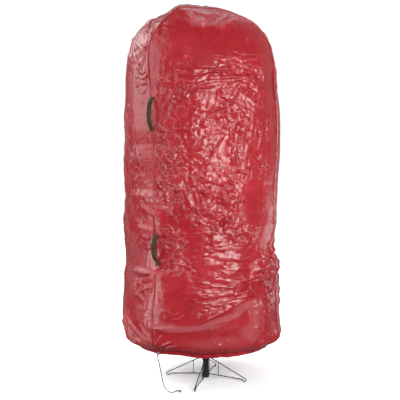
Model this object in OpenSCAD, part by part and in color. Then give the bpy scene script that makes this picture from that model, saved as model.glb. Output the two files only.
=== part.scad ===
// Upright storage bag over a sectional tree on a folding wire stand.
// Millimetres. Origin on the floor under the middle of the bag, +Z up,
// the bag's front panel faces -Y.

/* [Bag] */
// Width of the bag across its sides
bag_w = 930; // [860:5:960]
// Depth of the bag, front to back
bag_d = 900; // [840:5:930]
// Distance of the side seams from the middle plane
seam_x = 370; // [350:5:385]
// Height at which the straight side seams turn into the arch
arch_z = 1900; // [1850:10:1960]
// Height of the front and back seams at the top of the arch
arch_top = 2262; // [2230:2:2290]
// Squareness of the left shoulder of the arch
shoulder_left = 3.0; // [1.8:0.1:3.4]
// Squareness of the right shoulder of the arch
shoulder_right = 2.0; // [1.8:0.1:3.4]
// How far the crown stands above the arch seams
crown_rise = 42; // [30:1:50]
// Thickness of the bag's sheet, with its coating and folds
sheet_t = 1.6; // [1.4:0.1:2.5]

/* [Hem and drawcord] */
// Outer radius of the drawn-in hem ring
hem_r = 404; // [395:1:410]
// Height of the top of the hem channel
hem_z = 268; // [262:1:280]
// Height at which the skirt starts to draw in
skirt_z = 352; // [340:1:380]
// Drawcord diameter
cord_d = 5; // [4:0.5:6]

/* [Handles] */
// Width of the handle webbing
strap_w = 25; // [20:1:32]
// Thickness of the handle webbing
strap_t = 2.4; // [1.6:0.1:3]
// Height of the middle of the upper handle
handle_up_z = 1647; // [1600:1:1700]
// Height of the middle of the lower handle
handle_lo_z = 894; // [850:1:950]
// Distance between the sewn ends of the upper handle
handle_up_len = 192; // [180:1:200]
// Distance between the sewn ends of the lower handle
handle_lo_len = 155; // [150:1:200]
// How far the upper handle stands out
handle_up_bow = 57; // [50:1:65]
// How far the lower handle stands out
handle_lo_bow = 50; // [45:1:65]
// How far the lower handle is sewn in front of the seam
handle_lo_fwd = 22; // [0:1:30]
// How far the handles hang over towards the front, in degrees
handle_lean = 14; // [0:1:20]

/* [Stand] */
// Outer radius of the stand's tube
tube_r = 18; // [17.5:0.5:19]
// Inner radius of the stand's tube
tube_bore_r = 16.5; // [16.2:0.1:16.8]
// Height of the top of the tube
tube_top = 340; // [330:5:360]
// Distance of the wire feet from the tube's axis
foot_r = 264; // [255:1:268]
// Radius of the leg wire
wire_r = 3; // [2.5:0.1:3.2]
// Compass angle of the front leg
leg_az = 238.5; // [230:0.5:245]
// Distance of the leg struts from the axis
strut_x = 82; // [75:1:95]

/* [Tree] */
// Sideways place of the pole inside the bag
tree_x = 25; // [20:1:28]
// Outer radius of the pole
pole_r = 15.9; // [15.7:0.1:15.9]
// Branches in each tier
arms = 8; // [6:1:9]

/* [Hidden] */

tarp = [0.70, 0.20, 0.22];
green = [0.10, 0.22, 0.12];
steel = [0.62, 0.64, 0.66];
olive = [0.16, 0.20, 0.13];
foliage = [0.08, 0.27, 0.12];

// ---------- small helpers ----------
function clamp01(v) = min(1, max(0, v));
function smooth(v) = let (c = clamp01(v)) c * c * (3 - 2 * c);
function unit(v) = v / norm(v);

// ---------- bag surface ----------
n_bag = 2.3;
ha = bag_w / 2;
hb = bag_d / 2;
q_bag = seam_x / ha;
e_bag = pow(1 - pow(q_bag, n_bag), 1 / n_bag);
seam_y = hb * e_bag;
seam_lean = 70;

// Fullness across the front panel, 1 in the middle and 0 at the seam.
function full_f(rho) =
    (pow(max(0, 1 - pow(q_bag * rho, n_bag)), 1 / n_bag) - e_bag) / (1 - e_bag);
// Fullness across the gusset, 1 in the middle and 0 at a seam.
function full_g(w) =
    (pow(max(0, 1 - pow(e_bag * w, n_bag)), 1 / n_bag) - q_bag) / (1 - q_bag);
function shoulder(u) = u < 0 ? shoulder_left : shoulder_right;
function arch_h(u) = let (p = shoulder(u))
    arch_z + (arch_top - arch_z) * pow(max(0, 1 - pow(abs(u), p)), 1 / p);
function rho(u, z) = let (p = shoulder(u), h = max(0, (z - arch_z) / (arch_top - arch_z)))
    min(1, pow(pow(abs(u), p) + pow(h, p), 1 / p));
function seam_y_at(z) = seam_y - seam_lean * smooth((z - 1500) / 740);
// The bag spreads a little towards its foot and is drawn in at the hem.
function spread(z) = 1 + 0.035 * smooth((900 - z) / 500);
function draw_w(z) = z > skirt_z ? 0 : pow((skirt_z - z) / (skirt_z - hem_z), 2);
function shaped(p) = let (r0 = norm([p[0], p[1]]), r1 = r0 * spread(p[2]),
        r2 = r1 + (hem_r - r1) * draw_w(p[2]), k = r2 / r0) [p[0] * k, p[1] * k, p[2]];

rows_t = [0, 0.009, 0.018, 0.027, 0.036, 0.045, 0.056, 0.12, 0.22, 0.34, 0.48,
    0.62, 0.74, 0.82, 0.88, 0.925, 0.96, 0.985, 1];
nr = len(rows_t);
nc = 23;
cols_u = [for (j = [0 : nc - 1]) sin(90 * (2 * j / (nc - 1) - 1))];

function front_raw(u, z) =
    [u * seam_x, -(seam_y_at(z) + (hb - seam_y) * full_f(rho(u, z))), z];
function panel_pt(u, t) = let (z = hem_z + t * (arch_h(u) - hem_z)) shaped(front_raw(u, z));
front_grid = [for (t = rows_t) [for (u = cols_u) panel_pt(u, t)]];
back_grid = [for (r = front_grid) [for (p = r) [p[0], -p[1], p[2]]]];

// The seam, from the left hem over the arch to the right hem, before shaping.
seam_raw = concat(
    [for (i = [0 : nr - 1]) front_raw(-1, hem_z + rows_t[i] * (arch_z - hem_z))],
    [for (j = [1 : nc - 2]) front_raw(cols_u[j], arch_h(cols_u[j]))],
    [for (i = [nr - 1 : -1 : 0]) front_raw(1, hem_z + rows_t[i] * (arch_z - hem_z))]);
ns = len(seam_raw);
gus_w = [-1, -0.8, -0.57, -0.3, 0, 0.3, 0.57, 0.8, 1];
function seam_out(i) = let (a = seam_raw[max(0, i - 1)], b = seam_raw[min(ns - 1, i + 1)],
        t = unit([b[0] - a[0], 0, b[2] - a[2]])) [-t[2], 0, t[0]];
function gus_bulge(z) = (ha - seam_x) - (ha - seam_x - crown_rise) * smooth((z - 1600) / 660);
function gus_pt(i, w) = let (s = seam_raw[i], o = seam_out(i), g = gus_bulge(s[2]) * full_g(abs(w)))
    shaped([s[0] + o[0] * g, s[1] * -w, s[2] + o[2] * g]);
gusset_grid = [for (i = [0 : ns - 1]) [for (w = gus_w) gus_pt(i, w)]];

// Inner face of the sheet: each point moved towards the core of the bag.
core_z = 1850;
function inner(p) = p + sheet_t * unit([0, 0, min(p[2], core_z)] - p);

// A thin closed sheet from a grid of outer points.
module sheet(grid, flip = false) {
    r = len(grid);
    c = len(grid[0]);
    outer = [for (row = grid) for (p = row) p];
    pts = concat(outer, [for (p = outer) inner(p)]);
    m = r * c;
    function o(i, j) = i * c + j;
    faces = concat(
        [for (i = [0 : r - 2]) for (j = [0 : c - 2]) each
            [[o(i, j), o(i + 1, j), o(i + 1, j + 1)], [o(i, j), o(i + 1, j + 1), o(i, j + 1)]]],
        [for (i = [0 : r - 2]) for (j = [0 : c - 2]) each
            [[m + o(i, j), m + o(i + 1, j + 1), m + o(i + 1, j)], [m + o(i, j), m + o(i, j + 1), m + o(i + 1, j + 1)]]],
        [for (j = [0 : c - 2]) each
            [[o(0, j), o(0, j + 1), m + o(0, j + 1)], [o(0, j), m + o(0, j + 1), m + o(0, j)]]],
        [for (j = [0 : c - 2]) each
            [[o(r - 1, j + 1), o(r - 1, j), m + o(r - 1, j)], [o(r - 1, j + 1), m + o(r - 1, j), m + o(r - 1, j + 1)]]],
        [for (i = [0 : r - 2]) each
            [[o(i + 1, 0), o(i, 0), m + o(i, 0)], [o(i + 1, 0), m + o(i, 0), m + o(i + 1, 0)]]],
        [for (i = [0 : r - 2]) each
            [[o(i, c - 1), o(i + 1, c - 1), m + o(i + 1, c - 1)], [o(i, c - 1), m + o(i + 1, c - 1), m + o(i, c - 1)]]]);
    polyhedron(points = pts, faces = flip ? [for (f = faces) [f[0], f[2], f[1]]] : faces, convexity = 10);
}

module bag_front_panel() color(tarp) sheet(front_grid);
module bag_back_panel() color(tarp) sheet(back_grid, true);
module bag_gusset() color(tarp) sheet(gusset_grid, true);

// ---------- hem, eyelet and drawcord ----------
chan_w = 9;
chan_h = 20;
cord_r = cord_d / 2;
loop_r = hem_r - chan_w / 2;
loop_z = hem_z - 12;
eye_az = 214.6;

// Folded hem: a channel round the cord, with its stitched slit on the inside.
module hem_channel() color(tarp) difference() {
    rotate_extrude($fn = 96) difference() {
        union() {
            translate([hem_r - chan_w, hem_z - chan_h + 4]) square([chan_w, chan_h - 4]);
            translate([hem_r - chan_w / 2, hem_z - chan_h + 4.5]) circle(r = chan_w / 2, $fn = 32);
        }
        translate([loop_r, loop_z]) circle(r = cord_r + 0.6, $fn = 32);
        translate([hem_r - chan_w - 1, loop_z - 0.5]) square([chan_w / 2 + 1, 1]);
    }
    rotate([0, 0, eye_az]) translate([loop_r, 0, loop_z]) rotate([0, 90, 0])
        cylinder(r = 6, h = 20, $fn = 32);
}

// Metal eyelet that the cord comes out of.
module cord_eyelet() color(steel) rotate([0, 0, eye_az]) translate([0, 0, loop_z]) rotate([0, 90, 0])
    difference() {
        union() {
            translate([0, 0, hem_r - 1.6]) cylinder(r = 5.9, h = 2.1, $fn = 48);
            translate([0, 0, hem_r + 0.4]) cylinder(r = 8.5, h = 1.2, $fn = 48);
        }
        translate([0, 0, hem_r - 5]) cylinder(r = cord_r + 0.8, h = 10, $fn = 48);
    }

module drawcord_loop() color(green)
    rotate_extrude($fn = 96) translate([loop_r, loop_z]) circle(r = cord_r, $fn = 24);

// The free end of the cord: out of the eyelet, down to the floor and along it.
tail_route = [
    [-329.2, -227.1, 256], [-334, -230.4, 256], [-339, -233.6, 253.5], [-341.5, -235.5, 248],
    [-341, -236, 240], [-337, -235.5, 226], [-331, -234, 204], [-323, -231, 167],
    [-316, -228, 130], [-309, -224, 97], [-302, -219, 66], [-292, -214, 43],
    [-278, -208, 24], [-263, -203, 11], [-249, -199, 4.2], [-237, -196, 2.6],
    [-224, -191, 2.6], [-211, -180, 2.6], [-200, -172, 2.6], [-193, -175, 2.6],
    [-191.5, -186, 3.4], [-193, -196, 5]];

function route_dir(p, i) = unit(p[min(len(p) - 1, i + 1)] - p[max(0, i - 1)]);
// A round tube along the points p. ref is a direction that the route never takes.
module swept(p, r, sides, ref) {
    k = len(p);
    rings = [for (i = [0 : k - 1]) let (d = route_dir(p, i), u = unit(cross(ref, d)), v = cross(d, u))
        for (s = [0 : sides - 1]) p[i] + r * (cos(360 * s / sides) * u + sin(360 * s / sides) * v)];
    faces = concat(
        [[for (s = [0 : sides - 1]) s]],
        [for (i = [0 : k - 2]) for (s = [0 : sides - 1]) let (a = i * sides + s, b = i * sides + (s + 1) % sides)
            each [[a, b + sides, b], [a, a + sides, b + sides]]],
        [[for (s = [sides - 1 : -1 : 0]) (k - 1) * sides + s]]);
    polyhedron(points = rings, faces = faces, convexity = 6);
}
module drawcord_tail() color(green) swept(tail_route, cord_r, 8, [-0.6, 0.8, 0]);

knot_p = [-193.6, -202.5, 7.2];
module drawcord_knot() color(green) difference() {
    union() {
        translate(knot_p) sphere(r = 6.6, $fn = 32);
        translate(knot_p + [2.5, -6, -1.2]) rotate([60, 0, 20]) cylinder(r = 2.5, h = 12, $fn = 24);
    }
    translate([-193 - 10, -196.05, -10]) cube([20, 20, 40]);
}

// ---------- handles ----------
// Outward direction at the left front seam.
handle_az = 180 + atan2(pow(seam_y, n_bag - 1) / pow(hb, n_bag), pow(seam_x, n_bag - 1) / pow(ha, n_bag));
hinge_off = 8;
function handle_line(s, len, bow) = [hinge_off + bow * (1 - pow(abs(s), 2.6)), s * len / 2];
function handle_nrm(s, len, bow) = let (a = handle_line(s - 0.001, len, bow), b = handle_line(s + 0.001, len, bow),
        t = (b - a) / norm(b - a)) [t[1], -t[0]];
module at_seam(z, fwd = 0) {
    s = shaped([-seam_x, -seam_y_at(z), z]);
    translate([s[0], s[1], z]) rotate([0, 0, handle_az]) translate([0, fwd, 0]) children();
}
module handle(z, len, bow, fwd = 0) {
    ss = [for (i = [0 : 28]) -0.999 + 1.998 * i / 28];
    prof = concat([for (s = ss) handle_line(s, len, bow) + strap_t / 2 * handle_nrm(s, len, bow)],
        [for (i = [28 : -1 : 0]) handle_line(ss[i], len, bow) - strap_t / 2 * handle_nrm(ss[i], len, bow)]);
    at_seam(z, fwd) translate([hinge_off, 0, 0]) rotate([0, 0, handle_lean]) translate([-hinge_off, 0, 0]) intersection() {
        translate([0, strap_w / 2, 0]) rotate([90, 0, 0]) linear_extrude(height = strap_w) polygon(prof);
        rotate([90, 0, 90]) linear_extrude(height = 120) polygon([
            [-6, -len / 2], [6, -len / 2], [strap_w / 2, -len / 2 + 16], [strap_w / 2, len / 2 - 16],
            [6, len / 2], [-6, len / 2], [-strap_w / 2, len / 2 - 16], [-strap_w / 2, -len / 2 + 16]]);
    }
}
// The sewn ends of a handle, flat on the seam.
module handle_ends(z, len, fwd = 0) for (s = [-1, 1]) {
    zz = z + s * (len / 2 + 13);
    at_seam(zz, fwd) translate([1.7, -strap_w / 2, -12]) cube([strap_t, strap_w, 24]);
}
module handle_upper() color(olive) handle(handle_up_z, handle_up_len, handle_up_bow);
module handle_lower() color(olive) handle(handle_lo_z, handle_lo_len, handle_lo_bow, handle_lo_fwd);
module handle_upper_ends() color(olive) handle_ends(handle_up_z, handle_up_len);
module handle_lower_ends() color(olive) handle_ends(handle_lo_z, handle_lo_len, handle_lo_fwd);

// ---------- stand ----------
tube_bottom = 12;
fix_top_z = 143;
fix_low_z = 33;
swv_top_z = 127.5;
swv_low_z = 20;
stop_z = 150;
collar_r = 22;
bend_r = 9;
bolt_az = 283.5;
bolt_lo_z = 225;
bolt_up_z = 300;
bolt_r = 4;

module on_axis() translate([tree_x, 0, 0]) children();

module stand_tube() color(green) on_axis() difference() {
    union() {
        translate([0, 0, tube_bottom]) cylinder(r = tube_r, h = tube_top - tube_bottom, $fn = 64);
        translate([0, 0, tube_bottom]) cylinder(r = tube_r + 2.5, h = 2, $fn = 64);
    }
    translate([0, 0, tube_bottom - 1]) cylinder(r = tube_bore_r, h = tube_top, $fn = 64);
    rotate([0, 0, bolt_az]) translate([0, 0, bolt_lo_z]) rotate([0, 90, 0]) cylinder(r = bolt_r + 0.6, h = 40, $fn = 32);
    rotate([0, 0, bolt_az + 180]) translate([0, 0, bolt_up_z]) rotate([0, 90, 0]) cylinder(r = bolt_r + 0.6, h = 40, $fn = 32);
}
module pole_stop() color(green) on_axis() translate([0, 0, stop_z]) difference() {
    cylinder(r = tube_bore_r, h = 3, $fn = 64);
    translate([0, 0, -1]) cylinder(r = 5, h = 5, $fn = 32);
}
module collar(z, h, bore) color(green) on_axis() translate([0, 0, z - h / 2]) difference() {
    cylinder(r = collar_r, h = h, $fn = 64);
    translate([0, 0, -1]) cylinder(r = bore, h = h + 2, $fn = 64);
}
module fixed_collar_top() collar(fix_top_z, 14, tube_r);
module fixed_collar_bottom() collar(fix_low_z, 11, tube_r);
module swivel_collar_top() collar(swv_top_z, 14, tube_r + 0.06);
module swivel_collar_bottom() collar(swv_low_z, 11, tube_r + 0.06);

// One leg: a rod down to the foot, a bend that stands on the floor, and back.
bend_c = [foot_r - wire_r - bend_r, 0, wire_r + bend_r];
knee = [229, 0, 15.5];
function up_ang(zu) = let (d = [bend_c[0] - collar_r, bend_c[2] - zu])
    atan2(d[1], d[0]) + asin(bend_r / norm(d));
function up_end(zu) = let (a = up_ang(zu)) bend_c + bend_r * [-sin(a), 0, cos(a)];
function low_ang() = let (d = [bend_c[0] - knee[0], bend_c[2] - knee[2]])
    atan2(d[1], d[0]) - asin(bend_r / norm(d));
function low_end() = let (a = low_ang()) bend_c - bend_r * [-sin(a), 0, cos(a)];
function leg_path(zu, zl) = let (a0 = low_ang() - 90, a1 = up_ang(zu) + 90, n = 12)
    concat([[tube_r + 2, 0, zu], 0.5 * ([tube_r + 2, 0, zu] + up_end(zu))],
        [for (i = [0 : n]) let (a = a1 + (a0 - a1) * i / n) bend_c + bend_r * [cos(a), 0, sin(a)]],
        [knee + [7, 0, -2.6], knee, knee + [-8, 0, 0.6], [tube_r + 2, 0, zl]]);
module leg(az, zu, zl) color(green) on_axis() rotate([0, 0, az])
    swept(leg_path(zu, zl), wire_r, 16, [0, 1, 0]);
module leg_left() leg(leg_az - 90, fix_top_z, fix_low_z);
module leg_right() leg(leg_az + 90, fix_top_z, fix_low_z);
module leg_front() leg(leg_az, swv_top_z, swv_low_z);
module leg_rear() leg(leg_az + 180, swv_top_z, swv_low_z);

// Upright strut between the two rods of a leg, its ends welded into them.
function up_z(zu, x) = zu + (up_end(zu)[2] - zu) * (x - tube_r - 2) / (up_end(zu)[0] - tube_r - 2);
function low_z(zl, x) = zl + (knee[2] + 0.6 - zl) * (x - tube_r - 2) / (knee[0] - 8 - tube_r - 2);
module strut(az, zu, zl) on_axis() rotate([0, 0, az])
    translate([strut_x, 0, low_z(zl, strut_x)]) cylinder(r = 2.4, h = up_z(zu, strut_x) - low_z(zl, strut_x), $fn = 32);
module fixed_leg_struts() color(green) { strut(leg_az - 90, fix_top_z, fix_low_z); strut(leg_az + 90, fix_top_z, fix_low_z); }
module swivel_leg_struts() color(green) { strut(leg_az, swv_top_z, swv_low_z); strut(leg_az + 180, swv_top_z, swv_low_z); }

module weld_nut(az, z) on_axis() rotate([0, 0, az]) translate([0, 0, z]) difference() {
    rotate([0, 90, 0]) cylinder(r = 7.5, h = 26, $fn = 6);
    rotate([0, 90, 0]) cylinder(r = bolt_r + 0.06, h = 40, $fn = 32);
    translate([0, 0, -20]) cylinder(r = tube_r, h = 40, $fn = 64);
}
module weld_nuts() color(steel) { weld_nut(bolt_az, bolt_lo_z); weld_nut(bolt_az + 180, bolt_up_z); }

module eye_bolt(az, z) color(steel) on_axis() rotate([0, 0, az]) translate([0, 0, z]) {
    translate([pole_r + 0.3, 0, 0]) rotate([0, 90, 0]) cylinder(r = bolt_r, h = 44, $fn = 32);
    translate([pole_r + 0.3 + 44 + 9, 0, 0]) rotate([90, 0, 0])
        rotate_extrude($fn = 64) translate([12, 0]) circle(r = 3.5, $fn = 32);
}
module eye_bolt_lower() eye_bolt(bolt_az, bolt_lo_z);
module eye_bolt_upper() eye_bolt(bolt_az + 180, bolt_up_z);

// ---------- tree ----------
pole_wall = 1.3;
spigot = 60;
cuts = [stop_z + 3.2, 770, 1470, 2140];
module pole(i, closed) color(green) on_axis() rotate_extrude($fn = 64) {
    rin = pole_r - pole_wall;
    translate([rin, cuts[i]]) square([pole_wall, cuts[i + 1] - cuts[i]]);
    if (i > 0) translate([rin - 1.4, cuts[i] - spigot]) square([1.3, spigot + 12]);
    if (i > 0) translate([rin - 1.4, cuts[i]]) square([1.6, 12]);
    if (closed) translate([0, cuts[i + 1] - 2]) square([rin + 0.2, 2]);
}
module pole_lower() pole(0, false);
module pole_middle() pole(1, false);
module pole_upper() pole(2, true);

// height, arm length and lean from upright of each tier
tiers = [[400, 490, 50], [690, 500, 48], [980, 480, 46], [1250, 450, 43], [1520, 410, 38], [1790, 330, 32]];
pin_x = 27;
pin_r = 1.6;
module bracket(k) color(steel) on_axis() translate([0, 0, tiers[k][0]]) difference() {
    union() {
        translate([0, 0, -8]) cylinder(r = 21, h = 16, $fn = 64);
        for (i = [0 : arms - 1]) rotate([0, 0, 360 * i / arms + 12 * k]) for (s = [-1, 1])
            translate([18, s * 3.4 - 1.1, -6]) cube([13, 2.2, 12]);
    }
    translate([0, 0, -20]) cylinder(r = pole_r, h = 40, $fn = 64);
    for (i = [0 : arms - 1]) rotate([0, 0, 360 * i / arms + 12 * k])
        translate([pin_x, 6, 0]) rotate([90, 0, 0]) cylinder(r = pin_r, h = 12, $fn = 32);
}
module arm(len, lean) difference() {
    union() {
        translate([pin_x, 2.1, 0]) rotate([90, 0, 0]) cylinder(r = 4.6, h = 4.2, $fn = 32);
        translate([pin_x, 0, 0]) rotate([0, lean, 0]) rotate_extrude($fn = 32)
            polygon([[0, 0], [2, 0], [2, 40], [8, 70], [9, 0.6 * len], [6.5, len - 20], [3, len], [0, len]]);
    }
    translate([pin_x, 6, 0]) rotate([90, 0, 0]) cylinder(r = pin_r, h = 12, $fn = 32);
}
module tier(k) color(foliage) on_axis() translate([0, 0, tiers[k][0]])
    for (i = [0 : arms - 1]) rotate([0, 0, 360 * i / arms + 12 * k]) arm(tiers[k][1], tiers[k][2]);
module branch_bracket_1() bracket(0);
module branch_bracket_2() bracket(1);
module branch_bracket_3() bracket(2);
module branch_bracket_4() bracket(3);
module branch_bracket_5() bracket(4);
module branch_bracket_6() bracket(5);
module branch_tier_1() tier(0);
module branch_tier_2() tier(1);
module branch_tier_3() tier(2);
module branch_tier_4() tier(3);
module branch_tier_5() tier(4);
module branch_tier_6() tier(5);
module branch_pins() color(steel) on_axis() for (k = [0 : 5]) translate([0, 0, tiers[k][0]])
    for (i = [0 : arms - 1]) rotate([0, 0, 360 * i / arms + 12 * k])
        translate([pin_x, 5.5, 0]) rotate([90, 0, 0]) cylinder(r = pin_r, h = 11, $fn = 32);
// The leader on top of the pole, with its short fixed sprigs.
module tree_top() color(foliage) on_axis() {
    translate([0, 0, cuts[3]]) rotate_extrude($fn = 32)
        polygon([[0, 0], [pole_r, 0], [pole_r, 6], [9, 14], [11, 60], [4, 118], [0, 118]]);
    for (i = [0 : 5]) rotate([0, 0, 60 * i]) translate([0, 0, cuts[3] + 12]) rotate([0, 38, 0]) rotate_extrude($fn = 24)
        polygon([[0, 0], [2, 0], [6, 30], [6, 90], [2, 120], [0, 120]]);
}

stand_tube();
pole_stop();
fixed_collar_top();
fixed_collar_bottom();
swivel_collar_top();
swivel_collar_bottom();
leg_left();
leg_right();
leg_front();
leg_rear();
fixed_leg_struts();
swivel_leg_struts();
weld_nuts();
eye_bolt_lower();
eye_bolt_upper();
pole_lower();
pole_middle();
pole_upper();
branch_bracket_1();
branch_bracket_2();
branch_bracket_3();
branch_bracket_4();
branch_bracket_5();
branch_bracket_6();
branch_tier_1();
branch_tier_2();
branch_tier_3();
branch_tier_4();
branch_tier_5();
branch_tier_6();
branch_pins();
tree_top();
bag_front_panel();
bag_back_panel();
bag_gusset();
hem_channel();
cord_eyelet();
drawcord_loop();
drawcord_tail();
drawcord_knot();
handle_upper();
handle_lower();
handle_upper_ends();
handle_lower_ends();
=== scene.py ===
import math

import bpy
import numpy as np
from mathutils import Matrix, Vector


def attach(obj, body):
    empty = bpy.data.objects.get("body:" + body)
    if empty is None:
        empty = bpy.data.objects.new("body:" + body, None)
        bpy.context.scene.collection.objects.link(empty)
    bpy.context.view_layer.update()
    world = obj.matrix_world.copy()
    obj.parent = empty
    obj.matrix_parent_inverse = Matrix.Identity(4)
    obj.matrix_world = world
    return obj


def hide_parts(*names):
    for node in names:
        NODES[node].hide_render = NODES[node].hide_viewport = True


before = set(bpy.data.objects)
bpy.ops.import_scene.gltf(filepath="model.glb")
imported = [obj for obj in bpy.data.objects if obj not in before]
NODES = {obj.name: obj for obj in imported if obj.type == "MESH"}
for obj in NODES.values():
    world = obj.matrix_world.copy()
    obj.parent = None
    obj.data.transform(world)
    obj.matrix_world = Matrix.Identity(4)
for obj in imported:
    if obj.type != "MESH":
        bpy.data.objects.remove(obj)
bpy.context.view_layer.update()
scene = bpy.context.scene
scene.view_settings.view_transform = "Standard"
scene.view_settings.look = "None"
scene.view_settings.exposure = 0.0
scene.view_settings.gamma = 1.0

# ---------------------------------------------------------------- camera
CAM_AZ = math.radians(-16.0)
CAM_R = np.array([math.cos(CAM_AZ), math.sin(CAM_AZ), 0.0])  # the picture's right
CAM_C = np.array([math.sin(CAM_AZ), -math.cos(CAM_AZ), 0.0])  # towards the camera
cam_data = bpy.data.cameras.new("camera")
cam_data.sensor_width = 36.0
cam_data.lens = 63.87
cam_data.clip_end = 60.0
camera = bpy.data.objects.new("camera", cam_data)
scene.collection.objects.link(camera)
camera.location = Vector(CAM_R * -0.0126 + CAM_C * 4.400) + Vector((0, 0, 1.470))
look = Vector(CAM_C * -math.cos(math.radians(4.34))) + Vector((0, 0, -math.sin(math.radians(4.34))))
camera.rotation_euler = look.to_track_quat("-Z", "Y").to_euler()
scene.camera = camera


# ---------------------------------------------------------------- small helpers
def smooth(v):
    v = np.clip(v, 0.0, 1.0)
    return v * v * (3.0 - 2.0 * v)


def bump(v, lo, hi, soft):
    """1 between lo and hi, falling to 0 over soft outside them."""
    return smooth((v - lo + soft) / soft) * smooth((hi + soft - v) / soft)


def hash2(i, j, seed):
    i = np.asarray(i, np.int64)
    j = np.asarray(j, np.int64)
    h = (i * 374761393 + j * 668265263 + seed * 974711) & 0xFFFFFFFF
    h = ((h ^ (h >> 13)) * 1274126177) & 0xFFFFFFFF
    h = h ^ (h >> 16)
    h = (h * 2246822519) & 0xFFFFFFFF
    h = h ^ (h >> 15)
    return h / 4294967296.0


def value2(x, y, cell, seed):
    """Smooth noise from -1 to 1."""
    a = x / cell
    b = y / cell
    i = np.floor(a)
    j = np.floor(b)
    fa = a - i
    fb = b - j
    fa = fa * fa * (3 - 2 * fa)
    fb = fb * fb * (3 - 2 * fb)
    i = i.astype(np.int64)
    j = j.astype(np.int64)
    h = (
        hash2(i, j, seed) * (1 - fa) * (1 - fb)
        + hash2(i + 1, j, seed) * fa * (1 - fb)
        + hash2(i, j + 1, seed) * (1 - fa) * fb
        + hash2(i + 1, j + 1, seed) * fa * fb
    )
    return 2 * h - 1


def facets(x, y, cell, seed, stretch=1.0, turn=0.0, warp=0.45):
    """Crumpled sheet: flat facets with straight creases between random heights, -1 to 1.
    stretch makes the facets longer along the direction turn (degrees from x)."""
    wx = x + cell * warp * value2(x + 31.7, y - 5.1, cell * 1.7, seed + 71)
    wy = y + cell * warp * value2(x - 11.3, y + 8.9, cell * 1.7, seed + 72)
    c, s = math.cos(math.radians(turn)), math.sin(math.radians(turn))
    p = (wx * c + wy * s) / (cell * stretch)
    q = (-wx * s + wy * c) / cell
    i = np.floor(p)
    j = np.floor(q)
    fa = p - i
    fb = q - j
    i = i.astype(np.int64)
    j = j.astype(np.int64)
    h00 = hash2(i, j, seed)
    h10 = hash2(i + 1, j, seed)
    h01 = hash2(i, j + 1, seed)
    h11 = hash2(i + 1, j + 1, seed)
    way = hash2(i, j, seed + 5) > 0.5
    a1 = h00 + (h10 - h00) * fa + (h01 - h00) * fb
    a2 = h11 + (h01 - h11) * (1 - fa) + (h10 - h11) * (1 - fb)
    b1 = h00 + (h10 - h00) * fa + (h11 - h10) * fb
    b2 = h00 + (h01 - h00) * fb + (h11 - h01) * fa
    h = np.where(way, np.where(fa + fb < 1, a1, a2), np.where(fa > fb, b1, b2))
    return 2 * h - 1


def planes(x, y, cell, seed, stretch=1.0, turn=0.0, warp=0.20):
    """Crumpled film: flat facets that meet in straight sharp creases, the difference of two sets of nearest
    random points measured by squared distance; about -1 to 1."""
    wx = x + cell * warp * value2(x + 31.7, y - 5.1, cell * 2.3, seed + 71)
    wy = y + cell * warp * value2(x - 11.3, y + 8.9, cell * 2.3, seed + 72)
    c, s = math.cos(math.radians(turn)), math.sin(math.radians(turn))
    p = (wx * c + wy * s) / (cell * stretch)
    q = (-wx * s + wy * c) / cell
    i = np.floor(p).astype(np.int64)
    j = np.floor(q).astype(np.int64)
    out = 0
    for sign, sd in ((1, seed), (-1, seed + 400)):
        best = np.full(x.shape, 9.0)
        for di in (-1, 0, 1):
            for dj in (-1, 0, 1):
                cx = i + di + 0.08 + 0.84 * hash2(i + di, j + dj, sd)
                cy = j + dj + 0.08 + 0.84 * hash2(i + di, j + dj, sd + 1)
                d = (p - cx) ** 2 + (q - cy) ** 2 + 0.30 * hash2(i + di, j + dj, sd + 2)
                best = np.minimum(best, d)
        out = out + sign * best
    return out * 1.6


def stroke(x, y, pts, height, width, side=1.0, ends=0.25):
    """One fold along the points pts: a crest of that height, width wide, side times as wide on its left."""
    pts = np.asarray(pts, float)
    if len(pts) > 2:  # round the corners
        for _ in range(2):
            q = [pts[0]]
            for a, b in zip(pts[:-1], pts[1:]):
                q += [a * 0.75 + b * 0.25, a * 0.25 + b * 0.75]
            q.append(pts[-1])
            pts = np.array(q)
    seg = np.diff(pts, axis=0)
    ln = np.hypot(seg[:, 0], seg[:, 1])
    total = ln.sum()
    reach = 4.6 * width * max(side, 1.0)
    lo = pts.min(0) - reach
    hi = pts.max(0) + reach
    out = np.zeros(x.shape)
    m = (x > lo[0]) & (x < hi[0]) & (y > lo[1]) & (y < hi[1])
    if not m.any():
        return out
    xs = x[m]
    ys = y[m]
    best = np.full(xs.shape, 1e9)
    along = np.zeros(xs.shape)
    sgn = np.zeros(xs.shape)
    run = 0.0
    for p, d, l in zip(pts[:-1], seg, ln):
        if l < 1e-9:
            continue
        t = np.clip(((xs - p[0]) * d[0] + (ys - p[1]) * d[1]) / (l * l), 0, 1)
        ex = xs - p[0] - t * d[0]
        ey = ys - p[1] - t * d[1]
        dist = np.hypot(ex, ey)
        w = dist < best
        best = np.where(w, dist, best)
        along = np.where(w, run + t * l, along)
        sgn = np.where(w, np.sign(d[0] * ey - d[1] * ex), sgn)
        run += l
    w = np.where(sgn > 0, width * 1.3 * side, width * 0.65)
    prof = np.exp(-((best / w) ** 2)) * 0.4 + np.clip(1 - best / (1.5 * w), 0, 1) ** 1.3 * 0.6
    f = along / total
    taper = smooth(np.minimum(f, 1 - f) / max(ends, 1e-3))
    out[m] = height * prof * taper
    return out


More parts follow.
